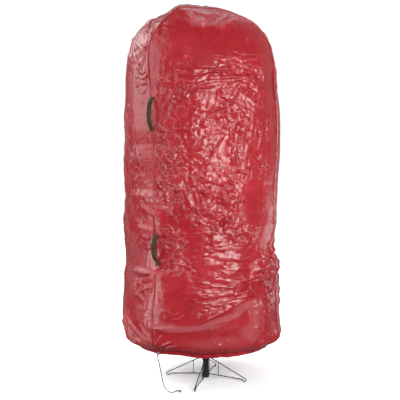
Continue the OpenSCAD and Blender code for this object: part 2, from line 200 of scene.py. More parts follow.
def ledge(x, y, pts, height, right, left, ends=0.25):
    """A broad fold along pts: falls straight over right metres on its right hand and over left metres on its left."""
    pts = np.asarray(pts, float)
    seg = np.diff(pts, axis=0)
    ln = np.hypot(seg[:, 0], seg[:, 1])
    out = np.zeros(x.shape)
    far = max(right, left)
    m = (x > pts[:, 0].min() - far) & (x < pts[:, 0].max() + far) & (y > pts[:, 1].min() - far) & (y < pts[:, 1].max() + far)
    if not m.any():
        return out
    xs, ys = x[m], y[m]
    best = np.full(xs.shape, 1e9)
    along = np.zeros(xs.shape)
    sgn = np.ones(xs.shape)
    run = 0.0
    for p, d, l in zip(pts[:-1], seg, ln):
        t = np.clip(((xs - p[0]) * d[0] + (ys - p[1]) * d[1]) / (l * l), 0, 1)
        ex, ey = xs - p[0] - t * d[0], ys - p[1] - t * d[1]
        dist = np.hypot(ex, ey)
        w = dist < best
        best = np.where(w, dist, best)
        along = np.where(w, run + t * l, along)
        sgn = np.where(w, np.sign(d[0] * ey - d[1] * ex), sgn)
        run += l
    w = np.where(sgn > 0, left, right)
    e = np.clip(1 - best / w, 0, 1)
    prof = e * (0.55 + 0.45 * smooth(e))
    f = along / run
    out[m] = height * prof * smooth(np.minimum(f, 1 - f) / ends)
    return out


def grid_mesh(name, P, uv=None, attrs=None, flip=False):
    """A sheet of quads from a grid of points, with a flat-pattern UV in metres."""
    n, m = P.shape[:2]
    me = bpy.data.meshes.new(name)
    idx = np.arange(n * m).reshape(n, m)
    a, b, c, d = idx[:-1, :-1], idx[:-1, 1:], idx[1:, 1:], idx[1:, :-1]
    quads = np.stack([a, b, c, d] if not flip else [a, d, c, b], -1).reshape(-1, 4)
    me.vertices.add(n * m)
    me.vertices.foreach_set("co", P.reshape(-1).astype(np.float32))
    me.loops.add(quads.size)
    me.loops.foreach_set("vertex_index", quads.reshape(-1).astype(np.int32))
    me.polygons.add(len(quads))
    me.polygons.foreach_set("loop_start", np.arange(0, quads.size, 4, dtype=np.int32))
    me.update(calc_edges=True)
    me.polygons.foreach_set("use_smooth", np.ones(len(quads), bool))
    if uv is not None:
        layer = me.uv_layers.new(name="cut")
        layer.data.foreach_set("uv", uv.reshape(-1, 2)[quads.reshape(-1)].reshape(-1).astype(np.float32))
    for k, v in (attrs or {}).items():
        at = me.attributes.new(k, "FLOAT", "POINT")
        at.data.foreach_set("value", v.reshape(-1).astype(np.float32))
    me.validate()
    me.update()
    ob = bpy.data.objects.new(name, me)
    scene.collection.objects.link(ob)
    return ob


def poly_mesh(name, verts, faces, smooth_faces=True, uv=None):
    me = bpy.data.meshes.new(name)
    me.from_pydata([tuple(map(float, v)) for v in verts], [], [tuple(int(i) for i in f) for f in faces])
    me.update()
    me.polygons.foreach_set("use_smooth", np.full(len(me.polygons), smooth_faces))
    if uv is not None:
        layer = me.uv_layers.new(name="cut")
        vi = np.zeros(len(me.loops), np.int32)
        me.loops.foreach_get("vertex_index", vi)
        layer.data.foreach_set("uv", np.asarray(uv, np.float32)[vi].reshape(-1))
    ob = bpy.data.objects.new(name, me)
    scene.collection.objects.link(ob)
    return ob


def normals_of(P):
    du = np.gradient(P, axis=1)
    dv = np.gradient(P, axis=0)
    n = np.cross(du, dv)
    return n / np.maximum(np.linalg.norm(n, axis=-1, keepdims=True), 1e-12)


def arc(P, axis):
    """Running length along one axis of a grid of points."""
    d = np.linalg.norm(np.diff(P, axis=axis), axis=-1)
    z = np.zeros_like(np.take(d, [0], axis=axis))
    return np.concatenate([z, np.cumsum(d, axis=axis)], axis=axis)


def blur(a, times):
    for _ in range(times):
        p = np.pad(a, 1, mode="edge")
        a = (p[:-2, 1:-1] + p[2:, 1:-1] + p[1:-1, :-2] + p[1:-1, 2:] + 2 * p[1:-1, 1:-1]) / 6.0
    return a


# ---------------------------------------------------------------- materials
def node(nt, kind, **kw):
    n = nt.nodes.new(kind)
    for k, v in kw.items():
        if k == "inputs":
            for name, val in v.items():
                n.inputs[name].default_value = val
        else:
            setattr(n, k, v)
    return n


def new_mat(name):
    m = bpy.data.materials.new(name)
    m.use_nodes = True
    nt = m.node_tree
    nt.nodes.clear()
    out = nt.nodes.new("ShaderNodeOutputMaterial")
    b = nt.nodes.new("ShaderNodeBsdfPrincipled")
    nt.links.new(b.outputs["BSDF"], out.inputs["Surface"])
    return m, nt, b


def noise(nt, vec, scale, detail=3.0, rough=0.55, kind="FBM", dist=0.0):
    n = nt.nodes.new("ShaderNodeTexNoise")
    n.noise_type = kind
    n.inputs["Scale"].default_value = scale
    n.inputs["Detail"].default_value = detail
    n.inputs["Roughness"].default_value = rough
    n.inputs["Distortion"].default_value = dist
    nt.links.new(vec, n.inputs["Vector"])
    return n


def ramp(nt, fac, stops, interp="LINEAR"):
    r = nt.nodes.new("ShaderNodeValToRGB")
    r.color_ramp.interpolation = interp
    els = r.color_ramp.elements
    els[0].position, els[0].color = stops[0][0], (*stops[0][1], 1)
    els[1].position, els[1].color = stops[-1][0], (*stops[-1][1], 1)
    for p, c in stops[1:-1]:
        e = els.new(p)
        e.color = (*c, 1)
    nt.links.new(fac, r.inputs["Fac"])
    return r


def maprange(nt, val, a, b, c, d):
    m = nt.nodes.new("ShaderNodeMapRange")
    m.inputs["From Min"].default_value = a
    m.inputs["From Max"].default_value = b
    m.inputs["To Min"].default_value = c
    m.inputs["To Max"].default_value = d
    nt.links.new(val, m.inputs["Value"])
    return m.outputs["Result"]


def bumpn(nt, height, dist, strength=1.0, prev=None):
    b = nt.nodes.new("ShaderNodeBump")
    b.inputs["Strength"].default_value = strength
    b.inputs["Distance"].default_value = dist
    nt.links.new(height, b.inputs["Height"])
    if prev is not None:
        nt.links.new(prev, b.inputs["Normal"])
    return b.outputs["Normal"]


def mixcol(nt, fac, a, b, blend="MIX"):
    m = nt.nodes.new("ShaderNodeMix")
    m.data_type = "RGBA"
    m.blend_type = blend
    for s, v in ((6, a), (7, b)):
        if isinstance(v, tuple):
            m.inputs[s].default_value = (*v, 1)
        else:
            nt.links.new(v, m.inputs[s])
    if isinstance(fac, float):
        m.inputs[0].default_value = fac
    else:
        nt.links.new(fac, m.inputs[0])
    return m.outputs[2]


def foil(nt, vec, cell, turn, stretch, shift, sway, cross=24):
    """Height of crumpled film: flat facets of about cell metres meeting in sharp creases."""
    wob = noise(nt, vec, 1.0 / (cell * 3.2), 1.0)
    sub = nt.nodes.new("ShaderNodeVectorMath")
    sub.operation = "SUBTRACT"
    sub.inputs[1].default_value = (0.5, 0.5, 0.5)
    nt.links.new(wob.outputs["Color"], sub.inputs[0])
    sc = nt.nodes.new("ShaderNodeVectorMath")
    sc.operation = "SCALE"
    sc.inputs["Scale"].default_value = cell * sway
    nt.links.new(sub.outputs[0], sc.inputs[0])
    add = nt.nodes.new("ShaderNodeVectorMath")
    add.operation = "ADD"
    nt.links.new(vec, add.inputs[0])
    nt.links.new(sc.outputs[0], add.inputs[1])
    sq = []
    for k in (0, 1):
        mp = nt.nodes.new("ShaderNodeMapping")
        mp.vector_type = "TEXTURE"
        mp.inputs["Location"].default_value = (shift + 0.37 * k, 0.21 * k - shift, 0)
        mp.inputs["Rotation"].default_value = (0, 0, math.radians(turn + cross * k))
        mp.inputs["Scale"].default_value = (cell * stretch, cell, cell)
        nt.links.new(add.outputs[0], mp.inputs["Vector"])
        v = nt.nodes.new("ShaderNodeTexVoronoi")
        v.voronoi_dimensions = "2D"
        v.inputs["Scale"].default_value = 1.0
        nt.links.new(mp.outputs["Vector"], v.inputs["Vector"])
        m = nt.nodes.new("ShaderNodeMath")
        m.operation = "POWER"
        m.inputs[1].default_value = 2.0
        nt.links.new(v.outputs["Distance"], m.inputs[0])
        sq.append(m.outputs[0])
    d = nt.nodes.new("ShaderNodeMath")
    d.operation = "SUBTRACT"
    nt.links.new(sq[0], d.inputs[0])
    nt.links.new(sq[1], d.inputs[1])
    return d.outputs[0]


def times(nt, a, b):
    m = nt.nodes.new("ShaderNodeMath")
    m.operation = "MULTIPLY"
    nt.links.new(a, m.inputs[0])
    if isinstance(b, float):
        m.inputs[1].default_value = b
    else:
        nt.links.new(b, m.inputs[1])
    return m.outputs[0]


def plus(nt, a, b):
    m = nt.nodes.new("ShaderNodeMath")
    m.operation = "ADD"
    nt.links.new(a, m.inputs[0])
    nt.links.new(b, m.inputs[1])
    return m.outputs[0]


def ridges(nt, vec, sx, sy, power):
    """Thin raised lines, sx by sy metres apart."""
    mp = nt.nodes.new("ShaderNodeMapping")
    mp.inputs["Scale"].default_value = (1.0 / sx, 1.0 / sy, 1.0)
    nt.links.new(vec, mp.inputs["Vector"])
    n = noise(nt, mp.outputs["Vector"], 1.0, 1.5, 0.5)
    a = nt.nodes.new("ShaderNodeMath")
    a.operation = "SUBTRACT"
    a.inputs[1].default_value = 0.5
    nt.links.new(n.outputs["Fac"], a.inputs[0])
    b = nt.nodes.new("ShaderNodeMath")
    b.operation = "ABSOLUTE"
    nt.links.new(a.outputs[0], b.inputs[0])
    c = nt.nodes.new("ShaderNodeMath")
    c.operation = "POWER"
    c.inputs[1].default_value = power
    nt.links.new(maprange(nt, b.outputs[0], 0.0, 0.30, 1.0, 0.0), c.inputs[0])
    return c.outputs[0]


def tarp_material():
    """Coated woven sheet: glossy red film over a fine slit-tape weave, with a painted highlight on its ridge tops and a
    painted greyish sheen in patches.
    """
    m, nt, b = new_mat("tarp")
    tc = nt.nodes.new("ShaderNodeTexCoord")
    uv = nt.nodes.new("ShaderNodeUVMap")
    uv.uv_map = "cut"
    obj = tc.outputs["Object"]
    big = noise(nt, obj, 2.6, 3.0)
    mid = noise(nt, obj, 19.0, 4.0, 0.6)
    base = ramp(nt, big.outputs["Fac"], [(0.30, (0.275, 0.0095, 0.0150)), (0.52, (0.312, 0.0120, 0.0180)), (0.72, (0.345, 0.0165, 0.0235))])
    mott = ramp(nt, mid.outputs["Fac"], [(0.35, (0.90, 0.86, 0.86)), (0.62, (1.06, 1.12, 1.12))])
    c = mixcol(nt, 1.0, base.outputs["Color"], mott.outputs["Color"], "MULTIPLY")
    # pale pink mixed into the base colour on ridge tops: a painted highlight
    at = nt.nodes.new("ShaderNodeAttribute")
    at.attribute_name = "crest"
    crest_highlight = maprange(nt, at.outputs["Fac"], 0.25, 1.0, 0.0, 0.14)
    c = mixcol(nt, crest_highlight, c, (0.70, 0.27, 0.28))
    # greyish mauve mixed into the base colour in patches: a painted sheen
    painted_sheen_attr = nt.nodes.new("ShaderNodeAttribute")
    painted_sheen_attr.attribute_name = "painted_sheen"
    c = mixcol(nt, maprange(nt, painted_sheen_attr.outputs["Fac"], 0.0, 1.0, 0.0, 0.55), c, (0.42, 0.125, 0.135))
    nt.links.new(c, b.inputs["Base Color"])
    rough = maprange(nt, mid.outputs["Fac"], 0.3, 0.7, 0.19, 0.27)
    nt.links.new(rough, b.inputs["Roughness"])
    b.inputs["Specular IOR Level"].default_value = 0.55
    # weave of 1.9 mm tapes under the film
    def tape(axis, scale):
        w = nt.nodes.new("ShaderNodeTexWave")
        w.wave_type = "BANDS"
        w.bands_direction = axis
        w.wave_profile = "SIN"
        w.inputs["Scale"].default_value = scale
        w.inputs["Distortion"].default_value = 0.6
        w.inputs["Detail"].default_value = 1.0
        w.inputs["Detail Scale"].default_value = 0.3
        nt.links.new(uv.outputs["UV"], w.inputs["Vector"])
        return w.outputs["Fac"]
    mul = nt.nodes.new("ShaderNodeMath")
    mul.operation = "ADD"
    nt.links.new(tape("X", 165.0), mul.inputs[0])
    nt.links.new(tape("Y", 150.0), mul.inputs[1])
    n1 = bumpn(nt, mul.outputs[0], 0.00012, 0.55)
    # crumpled film: facets of 40, 22 and 11 mm where the sheet has been scrunched
    rum = nt.nodes.new("ShaderNodeAttribute")
    rum.attribute_name = "rumple"
    h = times(nt, foil(nt, uv.outputs["UV"], 0.034, 62.0, 2.3, 0.0, 0.45), 0.0066)
    h = plus(nt, h, times(nt, foil(nt, uv.outputs["UV"], 0.024, -38.0, 2.2, 3.1, 0.45), 0.0042))
    h = plus(nt, h, times(nt, foil(nt, uv.outputs["UV"], 0.0120, 15.0, 2.0, 5.7, 0.40), 0.0013))
    h = times(nt, h, rum.outputs["Fac"])
    # pulled tight: long thin level wrinkles
    pull = nt.nodes.new("ShaderNodeAttribute")
    pull.attribute_name = "pull"
    g = times(nt, ridges(nt, uv.outputs["UV"], 0.190, 0.042, 6.0), 0.0036)
    g = plus(nt, g, times(nt, foil(nt, uv.outputs["UV"], 0.024, -2.0, 4.5, 1.7, 0.50, 8), 0.0022))
    g = times(nt, g, pull.outputs["Fac"])
    n2 = bumpn(nt, plus(nt, h, g), 1.0, 1.0, n1)
    fine = noise(nt, obj, 95.0, 3.0, 0.55, "RIDGED_MULTIFRACTAL")
    n3 = bumpn(nt, fine.outputs["Fac"], 0.0006, 0.45, n2)
    nt.links.new(n3, b.inputs["Normal"])
    return m


def webbing_material():
    m, nt, b = new_mat("webbing")
    tc = nt.nodes.new("ShaderNodeTexCoord")
    uv = nt.nodes.new("ShaderNodeUVMap")
    uv.uv_map = "cut"
    big = noise(nt, tc.outputs["Object"], 60.0, 3.0)
    c = ramp(nt, big.outputs["Fac"], [(0.3, (0.027, 0.026, 0.010)), (0.55, (0.043, 0.041, 0.015)), (0.75, (0.068, 0.060, 0.024))])
    nt.links.new(c.outputs["Color"], b.inputs["Base Color"])
    b.inputs["Roughness"].default_value = 0.85
    b.inputs["Specular IOR Level"].default_value = 0.25
    def rib(axis, scale):
        w = nt.nodes.new("ShaderNodeTexWave")
        w.wave_type = "BANDS"
        w.bands_direction = axis
        w.inputs["Scale"].default_value = scale
        w.inputs["Distortion"].default_value = 0.8
        w.inputs["Detail"].default_value = 1.0
        nt.links.new(uv.outputs["UV"], w.inputs["Vector"])
        return w.outputs["Fac"]
    n1 = bumpn(nt, rib("Y", 165.0), 0.0005, 0.9)
    n2 = bumpn(nt, rib("X", 120.0), 0.0003, 0.7, n1)
    nt.links.new(n2, b.inputs["Normal"])
    return m


def thread_material():
    m, nt, b = new_mat("thread")
    tc = nt.nodes.new("ShaderNodeTexCoord")
    n = noise(nt, tc.outputs["Object"], 400.0, 2.0)
    c = ramp(nt, n.outputs["Fac"], [(0.3, (0.30, 0.018, 0.022)), (0.7, (0.46, 0.05, 0.06))])
    nt.links.new(c.outputs["Color"], b.inputs["Base Color"])
    b.inputs["Roughness"].default_value = 0.6
    return m


def cord_material():
    m, nt, b = new_mat("cord")
    tc = nt.nodes.new("ShaderNodeTexCoord")
    n = noise(nt, tc.outputs["Object"], 220.0, 2.0)
    c = ramp(nt, n.outputs["Fac"], [(0.3, (0.030, 0.034, 0.024)), (0.7, (0.075, 0.080, 0.060))])
    nt.links.new(c.outputs["Color"], b.inputs["Base Color"])
    b.inputs["Roughness"].default_value = 0.7
    v = nt.nodes.new("ShaderNodeTexVoronoi")
    v.inputs["Scale"].default_value = 700.0
    nt.links.new(tc.outputs["Object"], v.inputs["Vector"])
    nt.links.new(bumpn(nt, v.outputs["Distance"], 0.0004, 0.8), b.inputs["Normal"])
    return m


def paint_material():
    """Thin dark green enamel on wire and tube, chipped here and there."""
    m, nt, b = new_mat("green_paint")
    tc = nt.nodes.new("ShaderNodeTexCoord")
    big = noise(nt, tc.outputs["Object"], 14.0, 4.0, 0.6)
    c = ramp(nt, big.outputs["Fac"], [(0.30, (0.012, 0.018, 0.014)), (0.55, (0.022, 0.031, 0.024)), (0.80, (0.042, 0.050, 0.040))])
    chips = noise(nt, tc.outputs["Object"], 120.0, 4.0, 0.7)
    k = ramp(nt, chips.outputs["Fac"], [(0.66, (0, 0, 0)), (0.70, (1, 1, 1))])
    col = mixcol(nt, k.outputs["Color"], c.outputs["Color"], (0.16, 0.14, 0.12))
    nt.links.new(col, b.inputs["Base Color"])
    r = maprange(nt, big.outputs["Fac"], 0.3, 0.7, 0.32, 0.48)
    nt.links.new(r, b.inputs["Roughness"])
    orange = noise(nt, tc.outputs["Object"], 260.0, 2.0)
    nt.links.new(bumpn(nt, orange.outputs["Fac"], 0.0004, 0.4), b.inputs["Normal"])
    return m


def steel_material():
    m, nt, b = new_mat("plated_steel")
    tc = nt.nodes.new("ShaderNodeTexCoord")
    big = noise(nt, tc.outputs["Object"], 30.0, 4.0, 0.6)
    c = ramp(nt, big.outputs["Fac"], [(0.3, (0.40, 0.39, 0.36)), (0.55, (0.56, 0.55, 0.52)), (0.8, (0.66, 0.66, 0.64))])
    nt.links.new(c.outputs["Color"], b.inputs["Base Color"])
    b.inputs["Metallic"].default_value = 1.0
    r = maprange(nt, big.outputs["Fac"], 0.3, 0.7, 0.28, 0.45)
    nt.links.new(r, b.inputs["Roughness"])
    s = nt.nodes.new("ShaderNodeMapping")
    s.inputs["Scale"].default_value = (260, 260, 30)
    nt.links.new(tc.outputs["Object"], s.inputs["Vector"])
    lines = noise(nt, s.outputs["Vector"], 3.0, 2.0)
    nt.links.new(bumpn(nt, lines.outputs["Fac"], 0.0002, 0.3), b.inputs["Normal"])
    return m


def foliage_material():
    m, nt, b = new_mat("foliage")
    tc = nt.nodes.new("ShaderNodeTexCoord")
    big = noise(nt, tc.outputs["Object"], 40.0, 3.0)
    c = ramp(nt, big.outputs["Fac"], [(0.3, (0.012, 0.045, 0.016)), (0.6, (0.026, 0.085, 0.030)), (0.8, (0.050, 0.130, 0.045))])
    nt.links.new(c.outputs["Color"], b.inputs["Base Color"])
    b.inputs["Roughness"].default_value = 0.5
    nt.links.new(bumpn(nt, big.outputs["Fac"], 0.001, 0.3), b.inputs["Normal"])
    return m


M = {
    "tarp": tarp_material(),
    "webbing": webbing_material(),
    "thread": thread_material(),
    "cord": cord_material(),
    "green_paint": paint_material(),
    "plated_steel": steel_material(),
    "foliage": foliage_material(),
}


def finish(ob, mat, body):
    ob.data.materials.clear()
    ob.data.materials.append(M[mat])
    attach(ob, body)
    return ob


# ---------------------------------------------------------------- the drawcord's free end (first, after the camera)
TAIL = np.array([
    (-329.2, -227.1, 256), (-334, -230.4, 256), (-339, -233.6, 253.5), (-341.5, -235.5, 248),
    (-341, -236, 240), (-337, -235.5, 226), (-331, -234, 204), (-323, -231, 167),
    (-316, -228, 130), (-309, -224, 97), (-302, -219, 66), (-292, -214, 43),
    (-278, -208, 24), (-263, -203, 11), (-249, -199, 4.2), (-237, -196, 2.6),
    (-224, -191, 2.6), (-211, -180, 2.6), (-200, -172, 2.6), (-193, -175, 2.6),
    (-191.5, -186, 3.4), (-193, -196, 5)]) / 1000.0
CORD_D = 0.005
cu = bpy.data.curves.new("cord_tail", "CURVE")
cu.dimensions = "3D"
cu.bevel_depth = CORD_D / 2
cu.bevel_resolution = 4
cu.resolution_u = 6
cu.use_fill_caps = True
sp = cu.splines.new("NURBS")
sp.points.add(len(TAIL) - 1)
for p, co in zip(sp.points, TAIL):
    p.co = (*map(float, co), 1)
sp.order_u = 3
sp.use_endpoint_u = True
cord_tail = bpy.data.objects.new("cord_tail", cu)
scene.collection.objects.link(cord_tail)
cu.materials.append(M["cord"])
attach(cord_tail, "tree_and_bag")
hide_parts("drawcord_tail")


def tube(path, radius, sides=12, closed=False):
    """Vertices and faces of a round tube; radius may be one number or one per point."""
    path = np.asarray(path, float)
    n = len(path)
    r = np.broadcast_to(np.asarray(radius, float), (n,))
    if closed:
        t = np.roll(path, -1, 0) - np.roll(path, 1, 0)
    else:
        t = np.gradient(path, axis=0)
    t /= np.maximum(np.linalg.norm(t, axis=1, keepdims=True), 1e-12)
    ref = np.array([0.31, 0.22, 0.92])
    if abs(t[0] @ ref) > 0.9:
        ref = np.array([0.9, 0.3, 0.1])
    u = ref - (ref @ t[0]) * t[0]
    u /= np.linalg.norm(u)
    verts = []
    for k in range(n):
        u = u - (u @ t[k]) * t[k]
        u /= np.linalg.norm(u)
        v = np.cross(t[k], u)
        for s in range(sides):
            a = 2 * math.pi * s / sides
            verts.append(path[k] + r[k] * (math.cos(a) * u + math.sin(a) * v))
    faces = []
    rings = n if closed else n - 1
    for k in range(rings):
        a, b = k * sides, ((k + 1) % n) * sides
        for s in range(sides):
            s2 = (s + 1) % sides
            faces.append((a + s, a + s2, b + s2, b + s))
    if not closed:
        faces.append(tuple(range(sides - 1, -1, -1)))
        faces.append(tuple((n - 1) * sides + s for s in range(sides)))
    return verts, faces


def join_parts(parts):
    verts, faces = [], []
    for v, f in parts:
        o = len(verts)
        verts += list(v)
        faces += [tuple(i + o for i in q) for q in f]
    return verts, faces


# the overhand knot on the end: one loop of the same cord pulled tight, and its short cut end
kc = np.array([-193.6, -202.0, 6.6]) / 1000.0
t = np.linspace(0, 2 * math.pi, 49)[:-1]
knot_path = np.stack([
    0.0040 * np.sin(t) + 0.0046 * np.sin(2 * t),
    0.0040 * np.cos(t) - 0.0046 * np.cos(2 * t),
    -0.0026 * np.sin(3 * t)], -1)
rot = np.array([[1, 0, 0], [0, 0.5, -0.866], [0, 0.866, 0.5]])
knot_path = knot_path @ rot.T * 0.62 + kc
v1 = tube(knot_path, 0.0023, 10, closed=True)
end = np.array([[-193.3, -199.0, 5.6], [-194.2, -206.0, 6.2], [-196.0, -210.0, 6.8], [-199.0, -213.0, 6.0]]) / 1000.0
v2 = tube(end, [0.0024, 0.0024, 0.0025, 0.0027], 10)
cord_knot = finish(poly_mesh("cord_knot", *join_parts([v1, v2])), "cord", "tree_and_bag")
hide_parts("drawcord_knot")

# ---------------------------------------------------------------- the bag's own surface (same rules as the CAD)
POW = 2.3
HALF_W, HALF_D, SEAM_X = 0.465, 0.450, 0.370
Q = SEAM_X / HALF_W
E = (1 - Q ** POW) ** (1 / POW)
SEAM_Y = HALF_D * E
HEM_Z, HEM_R, SKIRT_Z = 0.268, 0.404, 0.352
ARCH_Z, ARCH_TOP, CROWN = 1.900, 2.262, 0.042


def full_f(r):
    return (np.maximum(0, 1 - (Q * r) ** POW) ** (1 / POW) - E) / (1 - E)


def full_g(w):
    return (np.maximum(0, 1 - (E * w) ** POW) ** (1 / POW) - Q) / (1 - Q)


def arch_h(u):
    p = np.where(u < 0, 3.0, 2.0)
    return ARCH_Z + (ARCH_TOP - ARCH_Z) * np.maximum(0, 1 - np.abs(u) ** p) ** (1 / p)


def rho(u, z):
    p = np.where(u < 0, 3.0, 2.0)
    h = np.maximum(0, (z - ARCH_Z) / (ARCH_TOP - ARCH_Z))
    return np.minimum(1, (np.abs(u) ** p + h ** p) ** (1 / p))


def seam_y_at(z):
    return SEAM_Y - 0.070 * smooth((z - 1.5) / 0.74)


def shaped(P):
    x, y, z = P[..., 0], P[..., 1], P[..., 2]
    r0 = np.hypot(x, y)
    r1 = r0 * (1 + 0.035 * smooth((0.9 - z) / 0.5))
    d = np.where(z > SKIRT_Z, 0, ((SKIRT_Z - np.minimum(z, SKIRT_Z)) / (SKIRT_Z - HEM_Z)) ** 2)
    k = (r1 + (HEM_R - r1) * d) / np.maximum(r0, 1e-9)
    return np.stack([x * k, y * k, z + 0 * x], -1)


NU, NT, NW = 212, 430, 88


def panel_columns():
    v = np.linspace(-1, 1, 4001)
    x = v * SEAM_X
    y = (HALF_D - SEAM_Y) * full_f(np.abs(v))
    z = arch_h(v)
    a = np.concatenate([[0], np.cumsum(np.hypot(np.diff(x), np.diff(y)))])
    b = np.concatenate([[0], np.cumsum(np.hypot(np.diff(x), np.diff(z)))])
    c = 0.5 * a / a[-1] + 0.5 * b / b[-1]
    return np.interp(np.linspace(0, 1, NU + 1), c, v)


U = panel_columns()[None, :]
T = np.linspace(0, 1, NT + 1)[:, None]
PZ = HEM_Z + T * (arch_h(U) - HEM_Z)
PU = U + 0 * PZ
front_raw = np.stack([PU * SEAM_X, -(seam_y_at(PZ) + (HALF_D - SEAM_Y) * full_f(rho(PU, PZ))), PZ], -1)
front0 = shaped(front_raw)
back0 = front0 * np.array([1, -1, 1])

seam_u = np.concatenate([np.full(NT, -1.0), U[0, :-1], np.full(NT + 1, 1.0)])
seam_z = np.concatenate([PZ[:-1, 0], PZ[-1, :-1], PZ[::-1, -1]])
seam_x = seam_u * SEAM_X
SX2 = np.stack([seam_x, seam_z], -1)
tan = np.gradient(SX2, axis=0)
tan /= np.maximum(np.linalg.norm(tan, axis=1, keepdims=True), 1e-12)
out_x, out_z = -tan[:, 1], tan[:, 0]
w01 = np.linspace(0, 1, NW + 1)
W = (-1 + 2 * (0.64 * w01 + 0.36 * w01 ** 2))[None, :]  # closer together towards the front
gz = seam_z[:, None]
bulge = (HALF_W - SEAM_X) - (HALF_W - SEAM_X - CROWN) * smooth((gz - 1.6) / 0.66)
gg = bulge * full_g(np.abs(W))
gus_raw = np.stack([seam_x[:, None] + out_x[:, None] * gg, seam_y_at(gz) * W, gz + out_z[:, None] * gg], -1)
gus0 = shaped(gus_raw)

# flat-pattern coordinates, in metres
fs = arc(front0, 1)
mid = fs[:, [int(np.argmin(np.abs(U[0])))]]
FS = fs - mid  # 0 on the middle line, + to the right
FZ = PZ
seam_len = arc(gus0[:, :1], 0)[:, 0]
GQ = arc(gus0, 1)  # 0 on the front seam
GL = np.repeat(seam_len[:, None], NW + 1, 1)


# ---------------------------------------------------------------- folds shared by every part of the bag
def azimuth(P):
    return np.degrees(np.arctan2(P[..., 1], P[..., 0])) % 360.0


LEFT_EDGE = [(0.26, 0.0), (0.30, 0.006), (0.38, 0.012), (0.45, 0.017), (0.53, 0.016), (0.60, 0.011), (0.69, 0.007), (0.77, 0.0), (0.85, 0.007),
             (0.93, 0.016), (1.01, 0.021), (1.09, 0.016), (1.16, 0.008), (1.24, 0.015), (1.40, 0.016), (1.48, 0.008), (1.56, 0.011),
             (1.64, 0.008), (1.72, 0.009), (1.79, 0.012), (1.87, 0.020), (2.01, 0.024), (2.12, 0.022), (2.2, 0.010), (2.3, 0.0)]
RIGHT_EDGE = [(0.26, 0.004), (0.34, 0.002), (0.38, -0.006), (0.45, -0.010), (0.60, -0.010), (0.69, -0.010), (0.77, -0.006), (0.82, -0.026), (0.865, -0.050),
              (0.92, -0.030), (1.01, -0.012), (1.09, -0.016), (1.24, -0.016), (1.32, -0.006), (1.40, 0.0), (1.56, 0.004), (1.72, 0.004),
              (1.87, -0.004), (1.95, 0.004), (2.01, 0.008), (2.06, 0.018), (2.12, 0.027), (2.18, 0.028), (2.25, 0.010), (2.3, 0.0)]

# how the crown's outline stands above or below the plain arch: (metres to the picture's right, rise)
TOP_EDGE = [(-0.45, 0.0), (-0.35, 0.006), (-0.314, -0.006), (-0.286, -0.020), (-0.25, -0.018), (-0.213, -0.011), (-0.18, 0.0),
            (-0.134, 0.017), (-0.09, 0.012), (-0.05, 0.004), (0.034, 0.0), (0.20, 0.0), (0.30, 0.010), (0.36, 0.008), (0.42, 0.0)]
# how the gathered hem rides up: (azimuth in degrees, rise)
HEM_LIFT = [(0, 0.004), (40, -0.002), (80, 0.006), (120, 0.0), (150, 0.006), (180, 0.0), (203, 0.005), (212, 0.004), (216, 0.005), (223, 0.013), (236, 0.018),
            (245, 0.012), (253, 0.006), (260, 0.005), (268, 0.007), (284, 0.003), (293, 0.004), (310, 0.001), (335, 0.0), (360, 0.004)]

# folds round the drawn-in bottom: (azimuth in degrees, height in m) points, crest in m, width in m
LOW_FOLDS = [
    ([(174, 0.430), (186, 0.385), (198, 0.332), (210, 0.276)], 0.019, 0.0090),
    ([(181, 0.470), (193, 0.405), (204, 0.342), (213, 0.277)], 0.014, 0.0080),
    ([(184, 0.345), (195, 0.322), (205, 0.292), (212, 0.262)], 0.017, 0.0075),
    ([(199, 0.420), (206, 0.370), (211, 0.320), (214, 0.270)], 0.011, 0.0075),
    ([(240, 0.345), (230, 0.318), (222, 0.290), (217, 0.265)], 0.012, 0.0085),
    ([(250, 0.322), (238, 0.304), (227, 0.282), (218, 0.258)], 0.009, 0.0070),
    ([(228, 0.405), (223, 0.350), (219, 0.305), (216, 0.265)], 0.009, 0.0075),
    ([(180, 0.400), (192, 0.358), (203, 0.310), (211, 0.268)], -0.015, 0.0075),
    ([(189, 0.385), (200, 0.335), (209, 0.285)], -0.011, 0.0065),
    ([(236, 0.330), (226, 0.300), (219, 0.272)], -0.009, 0.0070),
    ([(265, 0.350), (268, 0.310), (266, 0.268)], 0.008, 0.0110),
    ([(284, 0.340), (281, 0.300), (283, 0.262)], 0.007, 0.0120),
    ([(300, 0.350), (297, 0.310), (299, 0.270)], 0.009, 0.0110),
    ([(318, 0.360), (313, 0.310), (314, 0.270)], 0.008, 0.0110),
]


